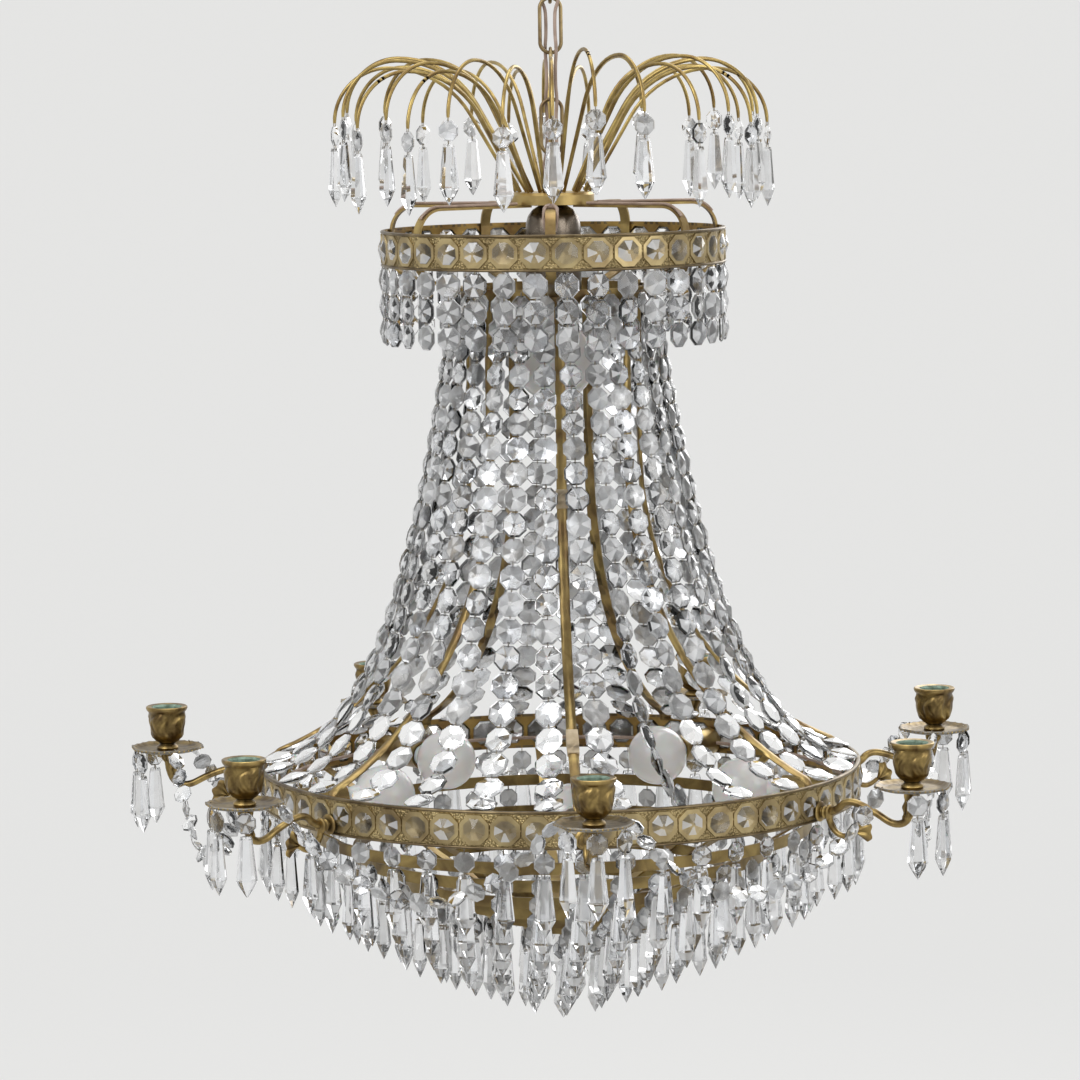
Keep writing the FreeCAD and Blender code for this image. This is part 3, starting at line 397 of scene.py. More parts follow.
class Board:
    """The node tree of one material, on Object coordinates."""

    def __init__(self, name: str) -> None:
        """Makes a material with its shader and output."""
        self.material = bpy.data.materials.new(name)
        self.material.use_nodes = True
        self.tree = self.material.node_tree
        self.tree.nodes.clear()
        self.shader = self.node("BsdfPrincipled")
        self.output = self.node("OutputMaterial", Surface=self.shader.outputs["BSDF"])
        self.place = self.node("TexCoord").outputs["Object"]

    def node(self, kind: str, *values: object, **named: object) -> Node:
        """A new node of the material with its inputs fed."""
        return new_node(self.tree, kind, *values, **named)

    def noise(self, per_metre: float, detail: float, twist: float = 0.0) -> Socket:
        """Cloudy noise of a number of patches to the metre."""
        node = self.node("TexNoise", Scale=per_metre, Detail=detail, Distortion=twist, Vector=self.place)
        return node.outputs["Fac"]

    def edges(self) -> Socket:
        """How much the surface bulges, below a half in hollows and above it on edges."""
        return self.node("NewGeometry").outputs["Pointiness"]

    def cells(self, per_metre: float) -> Socket:
        """Distance to the nearest of many scattered points."""
        return self.node("TexVoronoi", Scale=per_metre, Vector=self.place).outputs["Distance"]

    def ramp(self, factor: Socket, *stops: tuple[float, Triple]) -> Socket:
        """A colour from a factor, through stops of (position, colour)."""
        node = self.node("ValToRGB", factor)
        while len(node.color_ramp.elements) < len(stops):
            node.color_ramp.elements.new(0.5)
        for element, (position, colour) in zip(node.color_ramp.elements, stops):
            element.position = position
            element.color = (*colour, 1.0)
        return node.outputs["Color"]

    def span(self, factor: Socket, low: float, high: float) -> Socket:
        """A factor stretched to a range."""
        return self.node("MapRange", Value=factor, To_Min=low, To_Max=high).outputs["Result"]

    def multiplied(self, first: Socket, second: Socket) -> Socket:
        """Two colours multiplied."""
        node = self.node("Mix")
        node.data_type = "RGBA"
        node.blend_type = "MULTIPLY"
        feed(node, Factor=1.0)
        colours_in = [socket for socket in node.inputs if socket.type == "RGBA"]
        for source, socket in zip((first, second), colours_in):
            self.tree.links.new(source, socket)
        return next(socket for socket in node.outputs if socket.type == "RGBA")

    def bump(self, height: Socket, depth: float, strength: float = 1.0) -> None:
        """Raises the surface by a height of up to a depth."""
        node = self.node("Bump", Distance=depth * MM, Strength=strength, Height=height)
        earlier = self.shader.inputs["Normal"].links
        if earlier:
            feed(node, Normal=earlier[0].from_socket)
        feed(self.shader, Normal=node.outputs["Normal"])


@dataclass(frozen=True)
class Finish:
    """A finish that makes its material once. Its name differs from those of the frame's materials."""

    name: str

    def build(self, board: Board) -> None:
        """Fills the material's nodes."""
        raise NotImplementedError

    def material(self) -> bpy.types.Material:
        """The finish's material."""
        look = f"{self.name}_look"
        found = bpy.data.materials.get(look)
        if found:
            return found
        board = Board(look)
        self.build(board)
        return board.material


@dataclass(frozen=True)
class AgedBrass(Finish):
    """Brass gone brown in patches, with fine scratches, where asked a hammered ground with painted shade in
    its low parts, and where asked painted shade in hollows and a painted highlight on edges.
    """

    bright: Triple
    brown: Triple
    tarnish: float
    shine: tuple[float, float] = (0.24, 0.48)
    patches: float = 45.0
    hammered: float = 0.0
    hollow_shade_edge_highlight: bool = False

    def build(self, board: Board) -> None:
        """Mixes bright and brown brass by cloudy noise; where asked, paints shade into hollows and a
        highlight onto edges.
        """
        middle = tuple((a + b) / 2 for a, b in zip(self.bright, self.brown))
        low = 0.62 - 0.35 * self.tarnish
        clouds = board.noise(self.patches, 6.0, 0.6)
        stops = [(low - 0.16, self.bright), (low + 0.04, middle), (low + 0.26, self.brown)]
        tone = board.ramp(clouds, *stops)
        shine = board.span(board.noise(self.patches * 3, 4.0), *self.shine)
        board.bump(board.noise(900.0, 2.0), 0.06, 0.5)
        if self.hammered:
            # Painted shade: the low parts of the hammered relief are darkened in colour.
            pits = board.cells(self.hammered)
            dark = board.ramp(pits, (0.15, (1.0, 1.0, 1.0)), (0.75, (0.44, 0.42, 0.38)))
            tone = board.multiplied(tone, dark)
            board.bump(pits, -0.9)
        # Painted shade in hollows and a painted highlight on edges, from how much the surface bulges.
        if self.hollow_shade_edge_highlight:
            stops = [(0.44, (0.22, 0.20, 0.17)), (0.50, (0.85, 0.84, 0.82)), (0.56, (1.3, 1.3, 1.3))]
            tone = board.multiplied(tone, board.ramp(board.edges(), *stops))
        feed(board.shader, Metallic=1.0, Base_Color=tone, Roughness=shine)


@dataclass(frozen=True)
class CutCrystal(Finish):
    """Clear cut glass with a thin film of dust."""

    tint: Triple
    dusty: Triple
    clear: float = 1.0

    def build(self, board: Board) -> None:
        """Glass whose colour goes a little grey in dusty patches."""
        film = board.ramp(board.noise(60.0, 4.0), (0.40, self.tint), (0.75, self.dusty))
        feed(board.shader, Roughness=0.03, IOR=1.54, Transmission_Weight=self.clear, Base_Color=film)


@dataclass(frozen=True)
class OpalGlass(Finish):
    """White opal glass, smooth and slightly see-through."""

    def build(self, board: Board) -> None:
        """Milky glass with faint clouds under a clear skin."""
        clouds = board.ramp(board.noise(28.0, 2.0), (0.35, (0.90, 0.90, 0.87)), (0.75, (0.80, 0.80, 0.78)))
        feed(board.shader, Base_Color=clouds, Roughness=0.22, IOR=1.5)
        feed(board.shader, Subsurface_Weight=0.35, Subsurface_Scale=0.02)
        feed(board.shader, Coat_Weight=0.6, Coat_Roughness=0.06)


@dataclass(frozen=True)
class Patina(Finish):
    """A dull grown-over surface, such as verdigris, paper tape or lacquer, in two mixed colours."""

    light: Triple
    dark: Triple
    per_metre: float
    depth: float
    roughness: tuple[float, float] = (0.6, 0.9)
    metallic: float = 0.0

    def build(self, board: Board) -> None:
        """Two colours in grains, rough and slightly raised."""
        grains = board.noise(self.per_metre, 6.0, 0.4)
        tone = board.ramp(grains, (0.35, self.light), (0.65, self.dark))
        dull = board.span(grains, *self.roughness)
        feed(board.shader, Metallic=self.metallic, Base_Color=tone, Roughness=dull)
        board.bump(board.noise(self.per_metre * 4, 4.0), self.depth, 0.6)


WIRE_BRASS = AgedBrass("wire_brass", (0.56, 0.43, 0.16), (0.20, 0.13, 0.05), 0.6)
CHAIN_BRASS = AgedBrass("chain_brass", (0.46, 0.36, 0.18), (0.16, 0.11, 0.06), 0.8)
HUB_BRASS = AgedBrass("hub_brass", (0.52, 0.39, 0.15), (0.34, 0.24, 0.10), 0.35)
STRAP_BRASS = AgedBrass("strap_brass", (0.48, 0.36, 0.14), (0.20, 0.13, 0.06), 0.6)
# The hammered ground of the stamped strip is darkened in its low parts as painted shade.
STAMPED_BRASS = AgedBrass("stamped_brass", (0.54, 0.43, 0.22), (0.24, 0.18, 0.09), 0.4, hammered=640.0)
FRAME_BRASS = AgedBrass("frame_brass", (0.50, 0.40, 0.21), (0.22, 0.16, 0.08), 0.4)
PLAIN_BRASS = AgedBrass("plain_brass", (0.46, 0.31, 0.10), (0.20, 0.12, 0.05), 0.5)
RIM_BRASS = AgedBrass("rim_brass", (0.32, 0.25, 0.14), (0.11, 0.08, 0.045), 0.8)
RING_BRASS = AgedBrass("ring_brass", (0.46, 0.34, 0.13), (0.16, 0.11, 0.05), 0.7)
# Cast brass gets painted shade in its hollows and a painted highlight on its edges.
CAST_BRASS = AgedBrass("cast_brass", (0.44, 0.32, 0.12), (0.12, 0.08, 0.035), 0.7, patches=90.0, hollow_shade_edge_highlight=True)
PAN_BRASS = AgedBrass("pan_brass", (0.36, 0.34, 0.30), (0.17, 0.15, 0.12), 0.55, (0.50, 0.70), 70.0)
PIN_WIRE = AgedBrass("pin_wire", (0.50, 0.46, 0.38), (0.22, 0.18, 0.13), 0.6)
NUT_STEEL = AgedBrass("nut_steel", (0.48, 0.45, 0.38), (0.24, 0.20, 0.14), 0.5)
CRYSTAL = CutCrystal("crystal", (0.95, 0.96, 0.98), (0.84, 0.85, 0.86))
# Facet tones: darker and grey glass are painted dark reflections, and milky glass is a painted highlight.
CRYSTAL_PAINTED_FACETS = (
    CutCrystal("crystal_painted_dark_reflection", (0.76, 0.76, 0.76), (0.64, 0.63, 0.61)),
    CutCrystal("crystal_painted_grey_reflection", (0.84, 0.84, 0.84), (0.72, 0.71, 0.70)),
    CutCrystal("crystal_painted_highlight", (0.98, 0.98, 0.98), (0.90, 0.90, 0.90), clear=0.55),
)
OPAL = OpalGlass("opal_glass")
BRONZE = Patina("dark_bronze", (0.21, 0.175, 0.14), (0.11, 0.09, 0.07), 60.0, 0.05, (0.20, 0.36), 1.0)
VERDIGRIS = Patina("verdigris", (0.30, 0.42, 0.33), (0.12, 0.17, 0.12), 180.0, 0.25)
TAPE = Patina("paper_tape", (0.60, 0.49, 0.33), (0.45, 0.35, 0.22), 120.0, 0.15)
FLEX = Patina("flex", (0.47, 0.35, 0.28), (0.31, 0.22, 0.17), 70.0, 0.08, (0.45, 0.7))
CONNECTOR = Patina("connector", (0.80, 0.79, 0.74), (0.70, 0.69, 0.64), 60.0, 0.03, (0.3, 0.5))


# --- Crystals ---

STRING_GAP = 0.9
STRING_LINK = 5.2
LOOSE_FIT = 0.4


@dataclass
class CrystalCutter:
    """Cuts the octagons and icicle drops and bends the wire links that join them."""

    table: float = 0.15
    depth: float = 0.40
    girdle: float = 0.05
    bevel: float = 0.86
    bevel_rise: float = 0.06
    drop_length: float = 46.5
    drop_width: float = 16.2
    drop_thickness: float = 9.8
    drop_shoulder: float = 0.72
    drop_top: float = 0.5
    drop_gap: float = 2.0
    drop_turn: float = 14.0
    wire: float = 0.75
    link_width: float = 1.6
    octagon_for_drop: float = 15.6
    hook: float = 2.8
    variants: int = 10
    # Weights of the clear finish, the painted dark and grey reflections and the painted highlight, for
    # facets.
    facet_weights: tuple[int, ...] = (7, 1, 3, 3)
    octagon_seed: int = 41
    icicle_seed: int = 43

    def varied(self, cut: Callable[[], BMesh], seed: int) -> list[BMesh]:
        """Several copies of a crystal whose facets take, at random, the clear finish, a painted dark
        reflection, a painted grey reflection or a painted highlight.
        """
        chance = random.Random(seed)
        tones = range(len(self.facet_weights))
        made = []
        for _ in range(self.variants):
            bm = cut()
            for face in bm.faces:
                face.material_index = chance.choices(tones, self.facet_weights)[0]
            made.append(bm)
        return made

    def octagons(self, across: float = 1.0) -> list[BMesh]:
        """Octagons of a width across their flats, in all their variants."""
        return self.varied(lambda: self.octagon(across), self.octagon_seed)

    def octagon(self, across: float) -> BMesh:
        """An octagon facing -Y, flats up and down, of a width across its flats."""
        bm = bmesh.new()
        corner = across / 2 / math.cos(math.pi / 8)
        bmesh.ops.create_circle(bm, cap_ends=True, radius=corner, segments=8)
        face = bm.faces[:][0]
        bmesh.ops.translate(bm, vec=(0, 0, -across * self.depth / 2), verts=bm.verts)
        for vert in bm.verts:
            vert.co.x *= self.table
            vert.co.y *= self.table
        bevel = self.girdle / 2 + self.bevel_rise
        cuts = [(self.bevel, -bevel), (1.0, -self.girdle / 2), (1.0, self.girdle / 2), (self.bevel, bevel)]
        for share, level in (*cuts, (self.table, self.depth / 2)):
            face = extruded(bm, face)
            for vert in face.verts:
                ray = Vector((vert.co.x, vert.co.y, 0.0)).normalized()
                vert.co = ray * corner * share + Vector((0, 0, across * level))
        bmesh.ops.transform(bm, matrix=spun(QUARTER, "X") @ spun(QUARTER / 4, "Z"), verts=bm.verts)
        return bm

    def icicle(self) -> BMesh:
        """A drop with its top at the origin, its flat front facing -Y."""
        bm = bmesh.new()
        outline = [(1, 0), (0.46, 1), (-0.46, 1), (-1, 0), (-0.46, -1), (0.46, -1)]
        half = Vector((self.drop_width / 2, self.drop_thickness / 2))
        shape = [(x * half.x, y * half.y) for x, y in outline]
        widest = self.drop_length * self.drop_shoulder
        cuts = [(0.0, self.drop_top), (2.6, self.drop_top + 0.1), (widest, 1.0)]
        cuts += [(widest + (self.drop_length - widest) * 0.5, 0.55), (self.drop_length, 0.03)]
        sweep(bm, shape, [moved(0, 0, -z) for z, _ in cuts], [s for _, s in cuts])
        return bm

    def link(self, length: float) -> BMesh:
        """A wire link, upright along Z about the origin, that loops fore and aft."""
        bm = bmesh.new()
        points = []
        for i in range(8):
            ray = 2 * math.pi * (i + 0.5) / 8
            points.append(Vector((0, self.link_width / 2 * math.cos(ray), length / 2 * math.sin(ray))))
        sweep(bm, ring_outline(self.wire / 2, 4), route_stations(points + [points[0]]))
        return bm

    def string(self, name: str, node: str, across: float, places: list[Matrix], links: list[Matrix]) -> None:
        """Finishes strings of octagons of a width, and their links as a piece of their own."""
        finish_glass(place_copies(bmesh.new(), self.octagons(across), places), name, node)
        finish_wire(place_copies(bmesh.new(), self.link(STRING_LINK), links), f"{name.rstrip('s')}_links")

    def drops(self, metal: BMesh, places: Sequence[Matrix], chance: random.Random) -> BMesh:
        """A mesh of hung drops, each a little turned. Their links are added to a metal one."""
        middle = -self.hook - self.octagon_for_drop / 2
        foot = -self.hook - self.octagon_for_drop - self.drop_gap
        here = [place @ turned(chance.uniform(-self.drop_turn, self.drop_turn)) for place in places]

        def lowered(height: float) -> list[Matrix]:
            return [spot @ moved(0, 0, height) for spot in here]

        place_copies(metal, self.link(self.hook + 3.0), lowered(-self.hook / 2 - 0.7))
        place_copies(metal, self.link(5.0), lowered(foot + 0.6))
        glass = place_copies(bmesh.new(), self.octagons(self.octagon_for_drop), lowered(middle))
        return place_copies(glass, self.varied(self.icicle, self.icicle_seed), lowered(foot))


# --- Chain and cords ---


@dataclass
class ChainAndCords:
    """The chain, its stem and the two flex cords threaded down it."""

    links: int = 4
    link_step: float = 39.7
    link_length: float = 46.0
    wire: float = 3.0
    cord: float = 2.8
    cord_side: float = 3.5
    hub_side: float = 6.0
    swell: float = 0.9
    bend_reach: float = 5.0
    terminal_at: Triple = (5.8, -3.4, -26.0)
    bodies: tuple[str, ...] = ("ceiling_link", "link_2", "link_3", "link_4", "chandelier")

    def middle(self, number: int) -> float:
        """Height of a link's middle, counted from 1."""
        return self.wire - self.link_length / 2 - (number - 1) * self.link_step

    def route(self, span: int) -> list[Vector]:
        """The control points of the first cord over one span of the chain."""
        side, hub_side = self.cord_side, self.hub_side
        start, end = (Vector((side, -side, self.middle(number))) for number in (span, span + 1))
        if span == 1:
            start = Vector(self.terminal_at)
        if span == self.links:
            end = Vector((hub_side, -hub_side, HUB_TOP))
        stops = [(start, 0.2, 0.0), (start, 0.42, self.swell), (end, 0.61, self.swell * 0.7), (end, 0.8, 0.0)]
        fall = end.z - start.z
        between = [Vector((at.x + swell, at.y - swell, start.z + fall * share)) for at, share, swell in stops]
        return [start, *between, end]

    def build(self) -> None:
        """Dresses the chain and makes both cords, a piece for each joint of the chain that they cross."""
        dress(CHAIN_BRASS, "stem_eye", *(f"chain_link_{number}" for number in range(1, self.links + 1)))
        dress(CONNECTOR, "cord_terminals")
        for span in range(1, self.links + 1):
            bm = bmesh.new()
            stations = route_stations(spline_points(self.route(span)))
            for half_turn in (0.0, 180.0):
                sweep(bm, ring_outline(self.cord / 2, 12), [turned(half_turn) @ s for s in stations])
            body = self.bodies[span]
            piece = finish_piece(bm, f"flex_{span}", FLEX, "flex", f"supply_cord_{span}", body=body)
            piece.parent = None
            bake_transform(piece)


# --- Spray ---


@dataclass
class Spray:
    """The hub's spray of bent wires with a drop at each tip."""

    cutter: CrystalCutter
    wires: int = 28
    foot_radius: float = 25.0
    stagger: float = 4.0
    slope: float = 60.0
    rise: float = 73.0
    bend: float = 75.0
    fall: float = 43.0
    tall: int = 1
    tall_extra: float = 14.0
    sway: float = 2.6
    reach_sway: float = 2.5
    wire: float = 3.0
    tip: float = 0.8
    seed: int = 3

    def trail(self, index: int) -> Trail:
        """The trail of a wire."""
        stagger = self.stagger * (1 if index % 2 else -1)
        rise = self.rise - stagger + self.reach_sway * math.sin(7.0 * index)
        rise += self.tall_extra if index == self.tall else 0.0
        lift = self.wire / 2 * math.cos(math.radians(self.slope))
        trail = Trail(self.foot_radius + stagger, HUB_TOP + lift, self.slope)
        return trail.run(rise).bend(self.bend, -self.slope).bend(self.fall, -QUARTER)

    def build(self) -> None:
        """The wires with their thinner ends, and the drops."""
        dress(HUB_BRASS, "spray_hub")
        wires, metal = bmesh.new(), bmesh.new()
        places = []
        for index, azimuth in enumerate(azimuths(self.wires)):
            trail = self.trail(index)
            spin = turned(azimuth + self.sway * math.sin(5.0 * index))
            stations = [spin @ s for s in trail.stations()]
            sizes = [1.0] * (len(stations) - 1) + [self.tip]
            sweep(wires, ring_outline(self.wire / 2, 10), stations, sizes)
            places.append(spin @ moved(0, -trail.at[0], trail.at[1] + 0.6))
        finish_piece(wires, "spray", WIRE_BRASS, "wire_brass", "spray_wires")
        glass = self.cutter.drops(metal, places, random.Random(self.seed))
        finish_glass(glass, "spray_drops", "spray_crystals")
        finish_wire(metal, "spray_hooks")


# --- Rings ---


@dataclass
class StampedRing:
    """A ring of stamped strip: a hammered ground with painted shade in its low parts, framed octagonal
    windows and half round rims.
    """

    name: str
    radius: float
    windows: int
    phase: float
    wall: float = 2.0
    rim: float = 1.1
    window: float = 21.0
    frame_width: float = 1.15
    frame_height: float = 0.9
    frame_slope: float = 0.3
    rivet: float = 1.0
    crystal_play: float = 1.2
    crystal_tilt: float = 5.0

    def __post_init__(self) -> None:
        """Reads the ring's heights from the frame."""
        self.node = f"{self.name}_ring"
        self.foot, self.top = heights(self.node)
        self.level = (self.foot + self.top) / 2
        self.azimuths = azimuths(self.windows, self.phase)

    def octagon_loop(self, bm: BMesh, half: float, lift: float) -> list[bmesh.types.BMEdge]:
        """The edges of an octagon of half its width across flats, in the strip's plane."""
        made = bmesh.ops.create_circle(bm, segments=8, radius=half / math.cos(math.pi / 8))["verts"]
        bmesh.ops.rotate(bm, verts=made, matrix=Matrix.Rotation(math.pi / 8, 3, "Z"))
        bmesh.ops.translate(bm, vec=(0, 0, lift), verts=made)
        return list({e for v in made for e in v.link_edges})

    def strip(self, steps: Outline, tall: float, cuts: int = 0) -> BMesh:
        """A strip with a window in each of its cells, through steps of (reach, lift) round each window."""
        bm = bmesh.new()
        level = steps[-1][1]
        across = math.pi * self.radius / self.windows
        loops = [self.octagon_loop(bm, reach, lift) for reach, lift in steps]
        edge = self.octagon_loop(bm, self.window / 2, level)
        corners = {v for e in edge for v in e.verts}
        for vert in corners:
            wide = abs(vert.co.x) > abs(vert.co.y)
            vert.co.x = math.copysign(across if wide else across * 0.55, vert.co.x)
            vert.co.y = math.copysign(tall * 0.45 if wide else tall, vert.co.y)
        for inner, outer in zip(loops, loops[1:] + [edge]):
            for face in bmesh.ops.bridge_loops(bm, edges=inner + outer)["faces"]:
                face.material_index = int(outer is not edge)
        for side in SIDES:
            for end in SIDES:
                near = [v for v in corners if v.co.x * side > 0 and v.co.y * end > 0]
                bm.faces.new([*near, bm.verts.new((side * across, end * tall, level))])
        if cuts:
            bmesh.ops.subdivide_edges(bm, edges=edge, cuts=cuts)
        for vert in bm.verts:
            ray, reach = vert.co.x / self.radius, self.radius + vert.co.z
            vert.co = Vector((reach * math.sin(ray), -reach * math.cos(ray), vert.co.y + self.level))
        made = place_copies(bmesh.new(), bm, map(turned, self.azimuths))
        bmesh.ops.remove_doubles(made, verts=made.verts, dist=0.02)
        return made

    def band(self) -> BMesh:
        """The framed windows all round, with a rivet between each two."""
        half = self.window / 2
        framed = half + self.frame_width
        steps = [(half, -self.wall), (half, 0.0), (half + self.frame_slope, self.frame_height)]
        steps += [(framed - self.frame_slope, self.frame_height), (framed, 0.0)]
        bm = self.strip(steps, (self.top - self.foot) / 2 - self.rim, cuts=1)
        between = azimuths(self.windows, self.phase + FULL_TURN / 2 / self.windows)
        return place_copies(bm, bead(self.rivet), [out(self.radius, self.level, a) for a in between])

    def rims(self) -> BMesh:
        """The half round edges along the top and the foot."""
        bm = bmesh.new()
        inside = self.radius - self.wall
        for low, high in ((self.foot, self.foot + 2 * self.rim), (self.top - 2 * self.rim, self.top)):
            middle = (low + high) / 2
            rays = [math.pi * (i / 6 - 0.5) for i in range(7)]
            arc = [(self.radius + self.rim * math.cos(a), middle + self.rim * math.sin(a)) for a in rays]
            lathe(bm, [(inside, high), (inside, low), *arc, (inside, high)], 140)
        return bm

    def crystals(self, cutter: CrystalCutter) -> None:
        """The crystals in the windows and the pins that hold them left and right."""
        glass, metal, pin = bmesh.new(), bmesh.new(), bmesh.new()
        chance = random.Random(self.windows)
        bmesh.ops.create_cone(pin, cap_ends=True, segments=6, radius1=0.5, radius2=0.5, depth=2.6)
        places, pins = [], []
        for azimuth in self.azimuths:
            here = out(self.radius - self.wall / 2, self.level, azimuth)
            places.append(here @ spun(chance.uniform(-self.crystal_tilt, self.crystal_tilt), "X"))
            pins += [here @ moved(side * self.window / 2, 0, 0) @ spun(QUARTER, "Y") for side in SIDES]
        place_copies(glass, cutter.octagons(self.window - self.crystal_play), places)
        place_copies(metal, pin, pins)
        finish_glass(glass, f"{self.name}_crystals", f"{self.node}_crystals")
        finish_wire(metal, f"{self.name}_pins")

    def build(self, cutter: CrystalCutter) -> None:
        """The ring, its crystals and its pins."""
        slot = "stamped_brass"
        finish_piece(self.band(), f"{self.name}_band", STAMPED_BRASS, slot, self.node, more=[FRAME_BRASS])
        finish_piece(self.rims(), f"{self.name}_rims", RIM_BRASS, slot)
        lining = self.strip([(self.window / 2, -self.wall)], (self.top - self.foot) / 2)
        finish_piece(lining, f"{self.name}_lining", PLAIN_BRASS, slot)
        self.crystals(cutter)


# --- Crown, cage and basket ---


@dataclass
class Cage:
    """The ribs and the strands that hang from the strand ring."""

    cutter: CrystalCutter
    strands: int = 28
    crystals: int = 21
    groups: int = 4
    top_pitch: float = 17.6
    foot_pitch: float = 23.4
    top_out: float = 80.5
    foot_out: float = 239.0
    hang_below: float = 3.5
    end_above: float = 1.5
    top_phase: float = 0.6
    foot_phase: float = 4.0
    ribs: int = 7
    rib_phase: float = 3.0
    rib_top: float = 70.2
    rib_foot_circle: float = 236.2
    rib_head: float = 2.6
    rib_straight: float = 138.0
    rib_foot_bend: float = 10.0
    rib_foot_depth: float = 4.0
    rib_width: float = 8.0
    rib_thickness: float = 3.0
    tape: float = 15.0
    tape_play: float = 0.7
    tapes: tuple[tuple[int, float], ...] = ((0, -428.0), (4, -445.0), (0, -605.0))
    twisted: int = 1
    twist: float = 99.2
    lean: float = 9.0
    seed: int = 11

    def rib_trail(self) -> Trail:
        """The middle line of a rib."""
        start = STRAND_TOP + self.rib_head
        trail = Trail(self.rib_top, start, -QUARTER, 3.0).run(self.rib_straight)
        across = self.rib_foot_circle - self.rib_top
        down = start - self.rib_straight - (LOWER_TOP - self.rib_foot_depth)
        both = (across**2 + down**2) / (2 * across)
        swept = math.degrees(math.acos((both - across) / both))
        return trail.bend(both - self.rib_foot_bend, swept).bend(self.rib_foot_bend, -swept)

    def build_ribs(self) -> None:
        """Ribs of half round strip, and the paper tape that binds the lamp wires to some of them."""
        strips, tapes = bmesh.new(), bmesh.new()
        trail, spins = self.rib_trail(), [turned(a) for a in azimuths(self.ribs, self.rib_phase)]
        wide, thick = self.rib_width / 2, self.rib_thickness / 2
        outline = [(-wide, -thick), (-wide, 0.0), (-wide * 0.55, thick * 0.9), (0.0, thick * 0.98)]
        outline += [(wide * 0.55, thick * 0.9), (wide, 0.0), (wide, -thick)]
        for spin in spins:
            sweep(strips, outline, [spin @ s for s in trail.stations()])
        finish_piece(strips, "rib_strips", STRAP_BRASS, "strap_brass", "ribs")
        wide, thick = wide + self.tape_play, thick + self.tape_play
        outline = [(-wide, -thick), (wide, -thick), (wide, thick), (-wide, thick)]
        for rib, level in self.tapes:
            stretch = trail.between(level + self.tape / 2, level - self.tape / 2, 4)
            sweep(tapes, outline, [spins[rib] @ s for s in stretch.stations()], (0.97, 1.0, 1.03, 1.0, 0.97))
        finish_piece(tapes, "tape_bindings", TAPE, "strap_brass")

    def build_strands(self) -> None:
        """The strings of octagons with their links, a piece for each quarter of the cage."""
        growth = (self.foot_pitch - self.top_pitch) / (self.crystals - 1)
        pitches = [self.top_pitch + growth * k for k in range(self.crystals)]
        start = STRAND_TOP - self.hang_below
        drop = start - (LOWER_TOP + self.end_above)
        hang = Hang(self.foot_out - self.top_out, -drop, sum(pitches))
        chance = random.Random(self.seed)
        unit, link = self.cutter.octagons(), self.cutter.link(STRING_LINK)
        metal = bmesh.new()
        quarter = self.strands // self.groups
        for group in range(self.groups):
            places, links = [], []
            for k in range(group * quarter, (group + 1) * quarter):
                spots, joints = self.strand(k, hang, pitches, start, chance)
                places += spots
                links += joints
            glass = place_copies(bmesh.new(), unit, places)
            place_copies(metal, link, links)
            finish_glass(glass, f"strands_{group + 1}", f"strand_set_{group + 1}")
        finish_wire(metal, "strand_links")

    def strand(
        self, number: int, hang: Hang, pitches: Sequence[float], start: float, chance: random.Random
    ) -> tuple[list[Matrix], list[Matrix]]:
        """Places of one strand's crystals and links."""
        azimuth = (number + 0.5) * FULL_TURN / self.strands + self.top_phase
        lean = chance.uniform(-self.lean, self.lean)
        places, links = [], []
        along, total = 0.0, sum(pitches)
        for pitch in pitches:
            spots = []
            for at in (along + pitch / 2, along):
                across, height, slope = hang.place(at)
                here = azimuth + (self.foot_phase - self.top_phase) * at / total
                spots.append(out(self.top_out + across, start + height, here) @ spun(-slope - QUARTER, "X"))
            lean = 0.7 * lean + chance.uniform(-self.lean, self.lean)
            size = pitch - STRING_GAP - chance.uniform(0.1, 0.5)
            edge_on = self.twist * (number == self.twisted) * (along / total) ** 2
            places.append(spots[0] @ turned(lean + edge_on) @ Matrix.Scale(size, 4))
            links.append(spots[1] @ turned(lean + edge_on))
            along += pitch
        return places, links


